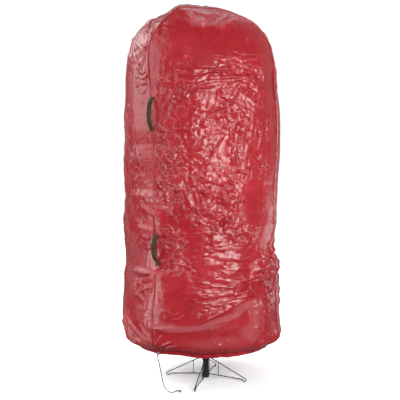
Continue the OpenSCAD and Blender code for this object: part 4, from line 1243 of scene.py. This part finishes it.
for k in range(26):
    qq = rng.uniform(0.30, 0.58)
    zz = rng.uniform(0.45, 2.0)
    pts = [(qq + rng.normal(0, 0.05), zz + 0.05), (qq, zz), (qq + rng.normal(0, 0.05), zz - 0.06)]
    f = stroke(GQ, gzz, pts, rng.choice([-1, 1]) * rng.uniform(0.003, 0.007), rng.uniform(0.008, 0.013), 1.5)
    if k % 2:
        h_l = h_l + f
    else:
        h_r = h_r + f
# fine upright streaks down the sides
streak = 0.0009 * value2(GQ * 6.0, gzz, 0.11, 511) + 0.0006 * value2(GQ * 9.0, gzz, 0.07, 512)
h_l = h_l + streak * 1.4
h_r = h_r + streak
onside = smooth((1.99 - gzz) / 0.06)
h_side = np.where(g_side < 0, h_l, h_r)
h_top, rum_top = crumple(GL, GQ, [(seam_len[NT] + 0.10, 0.25, 0.30, 0.5, 0, 0.5, 0.8, 0.7), (seam_len[NT + NU] - 0.25, 0.25, 0.25, 0.5, 0, 0.6, 0.8, 0.7)], 700, (0.2, 0.35, 0.35))
for k in range(22):
    l0 = rng.uniform(seam_len[NT] + 0.03, seam_len[NT + NU] - 0.03)
    q0 = rng.uniform(0.06, 0.42)
    a = rng.normal(math.pi / 2, 0.45)
    ln = rng.uniform(0.08, 0.20)
    pts = [(l0 - ln / 2 * math.cos(a), q0 - ln / 2 * math.sin(a)), (l0, q0 + rng.normal(0, 0.01)), (l0 + ln / 2 * math.cos(a), q0 + ln / 2 * math.sin(a))]
    h_top = h_top + stroke(GL, GQ, pts, rng.uniform(0.004, 0.009), rng.uniform(0.009, 0.015), 1.6)
h_gus = h_side * onside + h_top * (1 - onside)
rum_gus = np.where(g_side < 0, rum_l, rum_r) * onside + rum_top * (1 - onside)
h_gus = h_gus + 0.0045 * value2(GL, GQ, 0.27, 541)
h_gus = h_gus + pucker(GL, q_gus, 581)
foot_g = smooth((gz - HEM_Z) / 0.035)
d_gus = h_gus * seam_fade(q_gus) * foot_g
gus1 = global_shape(gus0 + n_gus * d_gus[..., None])


def crest(d, scale=1.0):
    """How sharply a point stands up out of its neighbours, 0 to 1: where a pale painted highlight goes on the film."""
    c = d - blur(d, 4)
    return np.clip(c / 0.00055 * scale, 0, 1)


def pulled(s, z, seed, spots):
    """How much the sheet is drawn into long level wrinkles: (s, z, reach s, reach z, amount)."""
    out = np.full(s.shape, 0.06)
    for a, b, ra, rb, k in spots:
        e = np.sqrt(((s - a) / ra) ** 2 + ((z - b) / rb) ** 2) * (1 + 0.3 * value2(s * 0.6, z, 0.07, seed))
        out = np.maximum(out, k * smooth((1.25 - e) / 0.5))
    return out * (0.55 + 0.9 * smooth(0.5 + 1.5 * value2(s * 0.35, z, 0.045, seed + 1)))


FRONT_PULL = [(0.02, 0.87, 0.22, 0.09, 0.35), (0.08, 0.73, 0.20, 0.08, 0.30), (-0.02, 0.62, 0.22, 0.07, 0.8), (0.06, 0.55, 0.16, 0.04, 0.5),
              (0.10, 1.88, 0.21, 0.05, 0.9), (-0.10, 1.83, 0.25, 0.05, 0.6), (-0.30, 1.10, 0.09, 0.05, 0.6), (-0.10, 1.62, 0.22, 0.05, 0.5)]
pull_front = pulled(FS, FZ, 821, FRONT_PULL)
pull_back = pulled(FS, FZ, 831, [(0.0, 0.80, 0.28, 0.12, 1.2), (0.05, 1.45, 0.25, 0.10, 0.8), (-0.05, 1.88, 0.25, 0.06, 1.0)])
pull_gus = np.full(GQ.shape, 0.10)


def painted_sheen(s, z, spots):
    """Greyish painted sheen, a reflection painted into the film's colour: (s, z, reach s, reach z, lean, amount)."""
    out = np.zeros(s.shape)
    for a, b, ra, rb, lean, k in spots:
        ds, dz = s - a, z - b - lean * (s - a)
        e = np.sqrt((ds / ra) ** 2 + (dz / rb) ** 2) * (1 + 0.25 * value2(s, z, 0.06, 801) + 0.15 * value2(s, z, 0.02, 802))
        out = np.maximum(out, k * smooth(1.5 - e))
    return out


# patches of painted sheen: the low broad ridge, the right bottom and the crown's top
FRONT_SHEEN_PAINT = [(-0.22, 0.446, 0.16, 0.016, 0.05, 0.9), (-0.02, 0.490, 0.13, 0.016, 0.24, 0.9), (0.14, 0.560, 0.08, 0.022, 0.30, 0.8),
               (0.20, 0.500, 0.05, 0.09, 0.0, 0.6), (0.16, 0.400, 0.06, 0.05, 0.0, 0.6), (-0.05, 0.350, 0.20, 0.04, 0.0, 0.35),
               (-0.06, 2.170, 0.13, 0.03, 0.0, 0.8), (-0.02, 2.215, 0.12, 0.03, 0.0, 0.6)]
sheen_paint_front = painted_sheen(FS, FZ, FRONT_SHEEN_PAINT)
sheen_paint_back = painted_sheen(FS, FZ, [(0.0, 0.46, 0.2, 0.02, 0.1, 0.7), (0.1, 0.78, 0.15, 0.02, 0.05, 0.5)])
# painted sheen down the sides, fading out on the crown
sheen_paint_gus = 0.5 * smooth(0.4 + 1.2 * value2(GQ, GL, 0.10, 811)) * smooth((2.12 - gzz) / 0.3)
front_panel = finish(grid_mesh("front_panel", front1, np.stack([FS, FZ], -1), {"crest": crest(d_front), "rumple": rum_front, "painted_sheen": sheen_paint_front, "pull": pull_front}), "tarp", "tree_and_bag")
back_panel = finish(grid_mesh("back_panel", back1, np.stack([FS, FZ], -1), {"crest": crest(d_back), "rumple": rum_back, "painted_sheen": sheen_paint_back, "pull": pull_back}, flip=True), "tarp", "tree_and_bag")
side_panel = finish(grid_mesh("side_panel", gus1, np.stack([GQ, GL], -1), {"crest": crest(d_gus), "rumple": rum_gus, "painted_sheen": sheen_paint_gus, "pull": pull_gus}, flip=True), "tarp", "tree_and_bag")
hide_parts("bag_front_panel")
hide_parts("bag_back_panel")
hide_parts("bag_gusset")


# ---------------------------------------------------------------- drawn hem
hem_az = np.radians(np.linspace(0, 360, 721)[:-1])
prof = [(0.0000, 0.268), (0.0006, 0.262), (0.0008, 0.256), (0.0002, 0.251), (-0.0022, 0.2478), (-0.0052, 0.2472),
        (-0.0082, 0.2482), (-0.0094, 0.252), (-0.0092, 0.258), (-0.0088, 0.264), (-0.0090, 0.2685)]
ring = []
for dr, z in prof:
    r = HEM_R + dr
    P = np.stack([r * np.cos(hem_az), r * np.sin(hem_az), np.full(hem_az.shape, z)], -1)
    ring.append(global_shape(P))
ring = np.array(ring)
hem_pts = np.concatenate([ring, ring[:, :1]], 1)
hem_uv = np.stack([np.repeat(np.linspace(0, 2 * math.pi * HEM_R, 721)[None], len(prof), 0),
                   np.repeat(np.linspace(0, 0.05, len(prof))[:, None], 721, 1)], -1)
hem = finish(grid_mesh("hem", hem_pts, hem_uv, {"crest": np.zeros(hem_pts.shape[:2])}), "tarp", "tree_and_bag")
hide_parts("hem_channel")

loop_az = np.radians(np.linspace(0, 360, 361)[:-1])
LOOP_R, LOOP_Z = 0.3995, 0.256
loop_path = global_shape(np.stack([LOOP_R * np.cos(loop_az), LOOP_R * np.sin(loop_az), np.full(loop_az.shape, LOOP_Z)], -1))
cord_loop = finish(poly_mesh("cord_in_hem", *tube(loop_path, 0.0024, 10, closed=True)), "cord", "tree_and_bag")
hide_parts("drawcord_loop")

# ---------------------------------------------------------------- seams: folded welts with their stitches
def welt(name, edge, n_a, n_b, height=0.0050, half=0.0024, skip=0):
    """A folded seam along edge, standing up along n_a + n_b."""
    out = n_a + n_b
    out /= np.linalg.norm(out, axis=1, keepdims=True)
    t = np.gradient(edge, axis=0)
    t /= np.linalg.norm(t, axis=1, keepdims=True)
    side = np.cross(out, t)
    run = np.concatenate([[0], np.cumsum(np.linalg.norm(np.diff(edge, axis=0), axis=1))])
    wob = 0.0010 * value2(run, run * 0, 0.035, 91) + 0.0006 * value2(run, run * 0 + 3, 0.012, 92)
    hh = height * (1 + 0.25 * value2(run, run * 0, 0.05, 93)) * (0.5 + 0.5 * smooth((edge[:, 0] + 0.05) / 0.3))
    cross = [(-1.9, -0.0006), (-1.1, 0.0004), (-0.75, 0.45), (-0.45, 0.92), (0.0, 1.0), (0.45, 0.92), (0.75, 0.45), (1.1, 0.0004), (1.9, -0.0006)]
    rows = []
    for a, b in cross:
        lift = (hh * b) if b > 0.01 else np.full(run.shape, b)
        rows.append(edge + side * (half * a + wob * max(b, 0))[:, None] + out * lift[:, None])
    P = np.array(rows).transpose(1, 0, 2)
    uvx = np.array([c[0] for c in cross]) * half
    uv = np.stack([np.repeat(uvx[None], len(edge), 0), np.repeat(run[:, None], len(cross), 1)], -1)
    # pale paint along the welt's top: a painted highlight
    welt_highlight = np.repeat(np.array([0, 0, 0.1, 0.6, 0.9, 0.6, 0.1, 0, 0])[None], len(edge), 0) * (0.6 + 0.4 * value2(run, run * 0, 0.06, 95))[:, None]
    ob = finish(grid_mesh(name, P, uv, {"crest": welt_highlight}), "tarp", "tree_and_bag")
    # stitches, 4 mm long every 6.5 mm, just beside the welt on the panel side
    parts = []
    step = 0.0065
    for k in range(int(run[-1] / step)):
        c0 = (k + 0.2) * step
        pts = []
        for f in (0.0, 0.5, 1.0):
            r0 = c0 + f * 0.0042
            p = np.array([np.interp(r0, run, edge[:, i]) for i in range(3)])
            s = np.array([np.interp(r0, run, side[:, i]) for i in range(3)])
            o = np.array([np.interp(r0, run, out[:, i]) for i in range(3)])
            pts.append(p + s * half * 1.75 * STITCH_SIDE[name] + o * (0.0009 if f == 0.5 else 0.0001))
        parts.append(tube(pts, 0.00055, 5))
    st = finish(poly_mesh(name + "_stitches", *join_parts(parts)), "thread", "tree_and_bag")
    return ob, st


STITCH_SIDE = {"front_seam": 1.0, "back_seam": -1.0}
edge_f = gus1[:, 0]
edge_b = gus1[:, -1]
nf = np.concatenate([n_front[:-1, 0], n_front[-1, :-1], n_front[::-1, -1]])
nb = nf * np.array([1, -1, 1])
ng0, ng1 = n_gus[:, 3], n_gus[:, -4]
seam_f, stitch_f = welt("front_seam", edge_f, nf, ng0)
seam_b, stitch_b = welt("back_seam", edge_b, nb, ng1)

# ---------------------------------------------------------------- handles
HANDLE_AZ = math.radians(219.99)
HN = np.array([math.cos(HANDLE_AZ), math.sin(HANDLE_AZ), 0.0])
HT = np.array([-math.sin(HANDLE_AZ), math.cos(HANDLE_AZ), 0.0])
HINGE = 0.008
LEAN = math.radians(14)
HN2 = np.array([math.cos(HANDLE_AZ + LEAN), math.sin(HANDLE_AZ + LEAN), 0.0])
HT2 = np.array([-math.sin(HANDLE_AZ + LEAN), math.cos(HANDLE_AZ + LEAN), 0.0])


def seam_point(z):
    return shaped(np.array([-SEAM_X, -float(seam_y_at(np.array(z))), z]))


def handle(name, z, length, bow, fwd, body, cad, seed):
    """Folded webbing between its two sewn ends, standing out from the seam."""
    base = seam_point(z) + HN * HINGE + HT * fwd
    n, m = 61, 17
    s = np.linspace(-0.999, 0.999, n)
    d = bow * (1 - np.abs(s) ** 2.6)
    y = s * length / 2
    td, ty = np.gradient(d), np.gradient(y)
    l = np.hypot(td, ty)
    nd, ny = ty / l, -td / l
    w = np.interp(length / 2 - np.abs(y), [0, 0.010], [0.0112, 0.0128])
    rows_o, rows_i = [], []
    c = np.linspace(-1, 1, m)
    for k in range(n):
        cup = 0.0022 * (c ** 2) * smooth(np.array((1 - abs(s[k])) / 0.25))
        rip = 0.0004 * np.sin(c * 9 + k * 0.35 + seed) + 0.0005 * value2(np.full(m, y[k]), c * 0.01, 0.016, seed)
        th = 0.00105 * (1 - 0.55 * np.abs(c) ** 6)
        off = -cup + rip
        for rows, sg in ((rows_o, 1), (rows_i, -1)):
            o = off + sg * th
            P = base + np.outer(d[k] + nd[k] * o, HN2) + np.outer(w[k] * c, HT2) + np.outer(y[k] + ny[k] * o, [0, 0, 1])
            rows.append(P)
    run = np.concatenate([[0], np.cumsum(np.hypot(np.diff(d), np.diff(y)))])
    P = np.concatenate([np.array(rows_o), np.array(rows_i)[:, ::-1]], 1)
    P = np.concatenate([P, P[:, :1]], 1)
    uv = np.stack([np.repeat(np.concatenate([c, c[::-1], c[:1]])[None] * 0.0125, n, 0), np.repeat(run[:, None], 2 * m + 1, 1)], -1)
    ob = finish(grid_mesh(name, P, uv), "webbing", body)
    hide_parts(cad)
    return ob, base


handle_up, _ = handle("upper_handle_strap", 1.647, 0.192, 0.057, 0.0, "upper_handle", "handle_upper", 5)
handle_lo, _ = handle("lower_handle_strap", 0.894, 0.155, 0.050, 0.022, "lower_handle", "handle_lower", 9)


def tabs(name, z, length, fwd, cad, seed):
    """The two sewn ends of one handle: webbing turned under and boxed with stitches."""
    verts, faces, uvs = [], [], []
    st = []
    for sg in (-1, 1):
        zc = z + sg * (length / 2 + 0.013)
        base = seam_point(zc) + HT * fwd
        n, m = 19, 15
        a = np.linspace(-1, 1, n)
        c = np.linspace(-1, 1, m)
        A, C = np.meshgrid(a, c, indexing="ij")
        edge = np.minimum(1 - np.abs(A), 1 - np.abs(C))
        hgt = 0.0028 * smooth(edge / 0.10) + 0.0004 * value2(C * 0.0125, A * 0.012 + z, 0.006, seed)
        dent = np.minimum(np.abs(np.abs(A) - 0.78), np.abs(np.abs(C) - 0.78))
        hgt = hgt - 0.0007 * np.exp(-(dent / 0.07) ** 2)
        P = base + HN * (0.0003 + hgt)[..., None] + HT * (0.0124 * C)[..., None] + np.array([0, 0, 1.0]) * (0.0122 * A)[..., None]
        P[..., 2] += zc - base[2]
        o = len(verts)
        verts += list(P.reshape(-1, 3))
        uvs += list(np.stack([C * 0.0125, A * 0.012 + z], -1).reshape(-1, 2))
        for i in range(n - 1):
            for j in range(m - 1):
                q = o + i * m + j
                faces.append((q, q + 1, q + m + 1, q + m))
        # box of stitches with its cross
        box = [(-0.78, -0.78), (0.78, -0.78), (0.78, 0.78), (-0.78, 0.78), (-0.78, -0.78)]
        lines = list(zip(box[:-1], box[1:])) + [((-0.78, -0.78), (0.78, 0.78)), ((0.78, -0.78), (-0.78, 0.78))]
        for p0, p1 in lines:
            p0, p1 = np.array(p0) * 0.0122, np.array(p1) * 0.0122
            k = max(3, int(np.linalg.norm(p1 - p0) / 0.0034))
            for i in range(k):
                f0, f1 = (i + 0.12) / k, (i + 0.86) / k
                pts = []
                for f, hh in ((f0, 0.0024), ((f0 + f1) / 2, 0.0034), (f1, 0.0024)):
                    p = p0 + (p1 - p0) * f
                    pts.append(base + HN * (0.0003 + hh) + HT * p[0] + np.array([0, 0, 1.0]) * p[1])
                st.append(tube(pts, 0.0005, 5))
    ob = finish(poly_mesh(name, verts, faces, True, uvs), "webbing", "tree_and_bag")
    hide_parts(cad)
    finish(poly_mesh(name + "_stitches", *join_parts(st)), "cord", "tree_and_bag")
    return ob


tabs("upper_handle_tabs", 1.647, 0.192, 0.0, "handle_upper_ends", 3)
tabs("lower_handle_tabs", 0.894, 0.155, 0.022, "handle_lower_ends", 4)

# ---------------------------------------------------------------- the tree inside: film needles on wire arms
def needles(base, axis, length, seed, count, r0=0.004, ln=(0.016, 0.030)):
    r = np.random.default_rng(seed)
    axis = axis / np.linalg.norm(axis)
    ref = np.array([0.0, 0.0, 1.0]) if abs(axis[2]) < 0.9 else np.array([1.0, 0, 0])
    u = np.cross(axis, ref)
    u /= np.linalg.norm(u)
    v = np.cross(axis, u)
    verts, faces = [], []
    for k in range(count):
        f = (k + r.random()) / count
        a = k * 2.39996 + r.normal(0, 0.25)
        d = math.cos(a) * u + math.sin(a) * v
        p = base + axis * (0.035 + (length - 0.045) * f) + d * r0 * 0.5
        L = r.uniform(*ln) * (1 - 0.35 * f)
        lean = r.uniform(0.75, 1.5)
        t = d + axis * lean
        t /= np.linalg.norm(t)
        s = np.cross(t, d)
        s /= np.linalg.norm(s)
        h = 0.0009
        o = len(verts)
        verts += [p - s * h, p + s * h, p + t * L * 0.6 + s * h, p + t * L * 0.6 - s * h, p + t * L]
        faces += [(o, o + 1, o + 2, o + 3), (o + 3, o + 2, o + 4)]
    wire = tube([base + axis * 0.006, base + axis * (length - 0.004)], 0.0016, 6)
    return [(verts, faces), wire]


TREE_X = 0.025
TIERS = [(0.400, 0.490, 50), (0.690, 0.500, 48), (0.980, 0.480, 46), (1.250, 0.450, 43), (1.520, 0.410, 38), (1.790, 0.330, 32)]
for k, (z, ln, lean) in enumerate(TIERS):
    parts = []
    for i in range(8):
        a = math.radians(45 * i + 12 * k)
        out = np.array([math.cos(a), math.sin(a), 0.0])
        base = np.array([TREE_X, 0, z]) + out * 0.027
        axis = out * math.sin(math.radians(lean)) + np.array([0, 0, math.cos(math.radians(lean))])
        parts += needles(base, axis, ln, 1000 + 10 * k + i, 420)
    ob = finish(poly_mesh(f"tier_{k + 1}_needles", *join_parts(parts), smooth_faces=False), "foliage", "tree_and_bag")
    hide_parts(f"branch_tier_{k + 1}")
parts = [*needles(np.array([TREE_X, 0, 2.141]), np.array([0, 0, 1.0]), 0.116, 77, 160, 0.006, (0.010, 0.022))]
for i in range(6):
    a = math.radians(60 * i)
    axis = np.array([math.cos(a) * math.sin(math.radians(38)), math.sin(a) * math.sin(math.radians(38)), math.cos(math.radians(38))])
    parts += needles(np.array([TREE_X, 0, 2.152]), axis, 0.118, 80 + i, 130, 0.004, (0.010, 0.020))
parts.append(tube([(TREE_X, 0, 2.1402), (TREE_X, 0, 2.146), (TREE_X, 0, 2.154)], [0.0159, 0.0159, 0.009], 32))
top = finish(poly_mesh("tree_top_needles", *join_parts(parts), smooth_faces=False), "foliage", "tree_and_bag")
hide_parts("tree_top")

# ---------------------------------------------------------------- CAD nodes that stay get their finishes
for name, ob in NODES.items():
    if name.startswith(("eye_bolt", "branch_bracket", "branch_pins", "cord_eyelet")):
        m = "plated_steel"
    elif name == "drawcord_loop":
        m = "cord"
    elif name.startswith(("stand_tube", "pole", "fixed_", "swivel_", "leg_", "weld_nuts")):
        m = "green_paint"
    else:
        continue
    ob.data.materials.clear()
    ob.data.materials.append(M[m])

# ---------------------------------------------------------------- weld beads where wire meets collar and wire meets strut
def blob(center, radii, turn, seed):
    r = np.random.default_rng(seed)
    n, m = 14, 10
    verts, faces = [], []
    c, s = math.cos(turn), math.sin(turn)
    for i in range(m + 1):
        th = math.pi * i / m
        for j in range(n):
            ph = 2 * math.pi * j / n
            k = 1 + 0.10 * math.sin(3 * ph + seed) * math.sin(th) + 0.05 * r.normal()
            p = np.array([radii[0] * math.sin(th) * math.cos(ph), radii[1] * math.sin(th) * math.sin(ph), radii[2] * math.cos(th)]) * k
            verts.append(np.array([p[0] * c - p[1] * s, p[0] * s + p[1] * c, p[2]]) + center)
    for i in range(m):
        for j in range(n):
            a = i * n + j
            b = i * n + (j + 1) % n
            faces.append((a, a + n, b + n, b))
    return verts, faces


def beads(body, name, azs, zu, zl):
    parts = []
    for k, a in enumerate(azs):
        ar = math.radians(a)
        out = np.array([math.cos(ar), math.sin(ar), 0])
        ax = np.array([TREE_X, 0, 0])
        for z in (zu, zl):
            parts.append(blob(ax + out * 0.0222 + np.array([0, 0, z]), (0.0032, 0.0050, 0.0042), ar, 10 * k + int(z * 1000)))
    ob = finish(poly_mesh(name, *join_parts(parts)), "green_paint", body)
    return ob


beads("stand", "fixed_leg_welds", (148.5, 328.5), 0.143, 0.033)
beads("swivel_legs", "swivel_leg_welds", (238.5, 58.5), 0.1275, 0.020)

# ---------------------------------------------------------------- floor, light
def stage_material():
    m = bpy.data.materials.new("floor")
    m.use_nodes = True
    nt = m.node_tree
    nt.nodes.clear()
    out = nt.nodes.new("ShaderNodeOutputMaterial")
    add = nt.nodes.new("ShaderNodeAddShader")
    d = nt.nodes.new("ShaderNodeBsdfDiffuse")
    d.inputs["Color"].default_value = (1.5, 1.5, 1.5, 1)
    e = nt.nodes.new("ShaderNodeEmission")
    e.inputs["Color"].default_value = (1, 1, 1, 1)
    tc = nt.nodes.new("ShaderNodeTexCoord")
    far = nt.nodes.new("ShaderNodeVectorMath")
    far.operation = "LENGTH"
    nt.links.new(tc.outputs["Object"], far.inputs[0])
    # the floor glows, almost not at all under the bag and rising to white further out: painted shade around the bag's
    # footprint
    nt.links.new(maprange(nt, far.outputs["Value"], 0.6, 2.4, 0.03, 0.75), e.inputs["Strength"])
    nt.links.new(d.outputs[0], add.inputs[0])
    nt.links.new(e.outputs[0], add.inputs[1])
    nt.links.new(add.outputs[0], out.inputs["Surface"])
    return m


me = bpy.data.meshes.new("floor")
me.from_pydata([(-9, -9, 0), (9, -9, 0), (9, 9, 0), (-9, 9, 0)], [], [(0, 1, 2, 3)])
me.update()
floor = bpy.data.objects.new("floor", me)
scene.collection.objects.link(floor)
me.materials.append(stage_material())
floor.visible_glossy = False
floor.visible_diffuse = False

world = bpy.data.worlds.new("studio")
scene.world = world
world.use_nodes = True
nt = world.node_tree
nt.nodes.clear()
wo = nt.nodes.new("ShaderNodeOutputWorld")
lp = nt.nodes.new("ShaderNodeLightPath")
mixs = nt.nodes.new("ShaderNodeMixShader")
bw = nt.nodes.new("ShaderNodeBackground")
bw.inputs["Color"].default_value = (1, 1, 1, 1)
bw.inputs["Strength"].default_value = 1.05
bg = nt.nodes.new("ShaderNodeBackground")  # what the gloss sees: a dark room in front, a bright sweep behind
bg.inputs["Color"].default_value = (1, 1, 1, 1)
fill = nt.nodes.new("ShaderNodeBackground")  # even soft fill
fill.inputs["Color"].default_value = (1, 1, 1, 1)
tcw = nt.nodes.new("ShaderNodeTexCoord")
sep = nt.nodes.new("ShaderNodeSeparateXYZ")
nt.links.new(tcw.outputs["Generated"], sep.inputs[0])


def along(axis, a, b, lo, hi):
    m = nt.nodes.new("ShaderNodeMapRange")
    m.interpolation_type = "SMOOTHSTEP"
    for key, v in (("From Min", a), ("From Max", b), ("To Min", lo), ("To Max", hi)):
        m.inputs[key].default_value = v
    nt.links.new(sep.outputs[axis], m.inputs["Value"])
    return m.outputs["Result"]


low = along("Z", -0.7, 0.0, 1.12, 1.0)
side_ramp = along("X", -0.6, 0.5, 0.25, 1.0)
nt.links.new(times(nt, times(nt, along("Y", -0.55, 0.55, 0.12, 0.42), along("Z", -0.55, 0.05, 0.45, 1.0)), side_ramp), bg.inputs["Strength"])
nt.links.new(times(nt, times(nt, low, along("Z", -0.05, 0.85, 1.0, 0.42)), 0.64), fill.inputs["Strength"])
gl = nt.nodes.new("ShaderNodeMixShader")
nt.links.new(lp.outputs["Is Glossy Ray"], gl.inputs[0])
nt.links.new(fill.outputs[0], gl.inputs[1])
nt.links.new(bg.outputs[0], gl.inputs[2])
nt.links.new(lp.outputs["Is Camera Ray"], mixs.inputs[0])
nt.links.new(gl.outputs[0], mixs.inputs[1])
nt.links.new(bw.outputs[0], mixs.inputs[2])
nt.links.new(mixs.outputs[0], wo.inputs["Surface"])


def softbox(name, az, dist, z, w, h, power, aim=(0, 0, 1.2)):
    """az is measured from the camera's direction, + to the picture's right."""
    a = math.radians(az)
    d = CAM_C * math.cos(a) + CAM_R * math.sin(a)
    li = bpy.data.lights.new(name, "AREA")
    li.shape = "RECTANGLE"
    li.size, li.size_y = w, h
    li.energy = power
    ob = bpy.data.objects.new(name, li)
    scene.collection.objects.link(ob)
    ob.location = Vector(d * dist) + Vector((0, 0, z))
    ob.rotation_euler = (Vector(aim) - ob.location).to_track_quat("-Z", "Y").to_euler()
    return ob


softbox("key", 31, 3.4, 1.74, 1.3, 1.6, 108, (0, 0, 1.4))
softbox("side", -80, 3.2, 2.9, 5.0, 3.0, 106, (0, 0, 1.8))
softbox("right_back", 112, 2.2, 0.60, 1.1, 0.7, 6, (0.35, 0, 0.7))
softbox("top", 170, 1.0, 4.2, 2.4, 1.6, 14, (0, 0, 1.8))
softbox("front_top", 4, 3.4, 3.9, 2.4, 0.7, 3, (0, 0, 0.9))
softbox("left_back", -118, 2.4, 3.3, 2.0, 1.4, 26, (-0.3, 0, 2.0))
softbox("low_left", -62, 2.0, 0.35, 0.6, 0.3, 10, (-0.3, -0.1, 0.4))
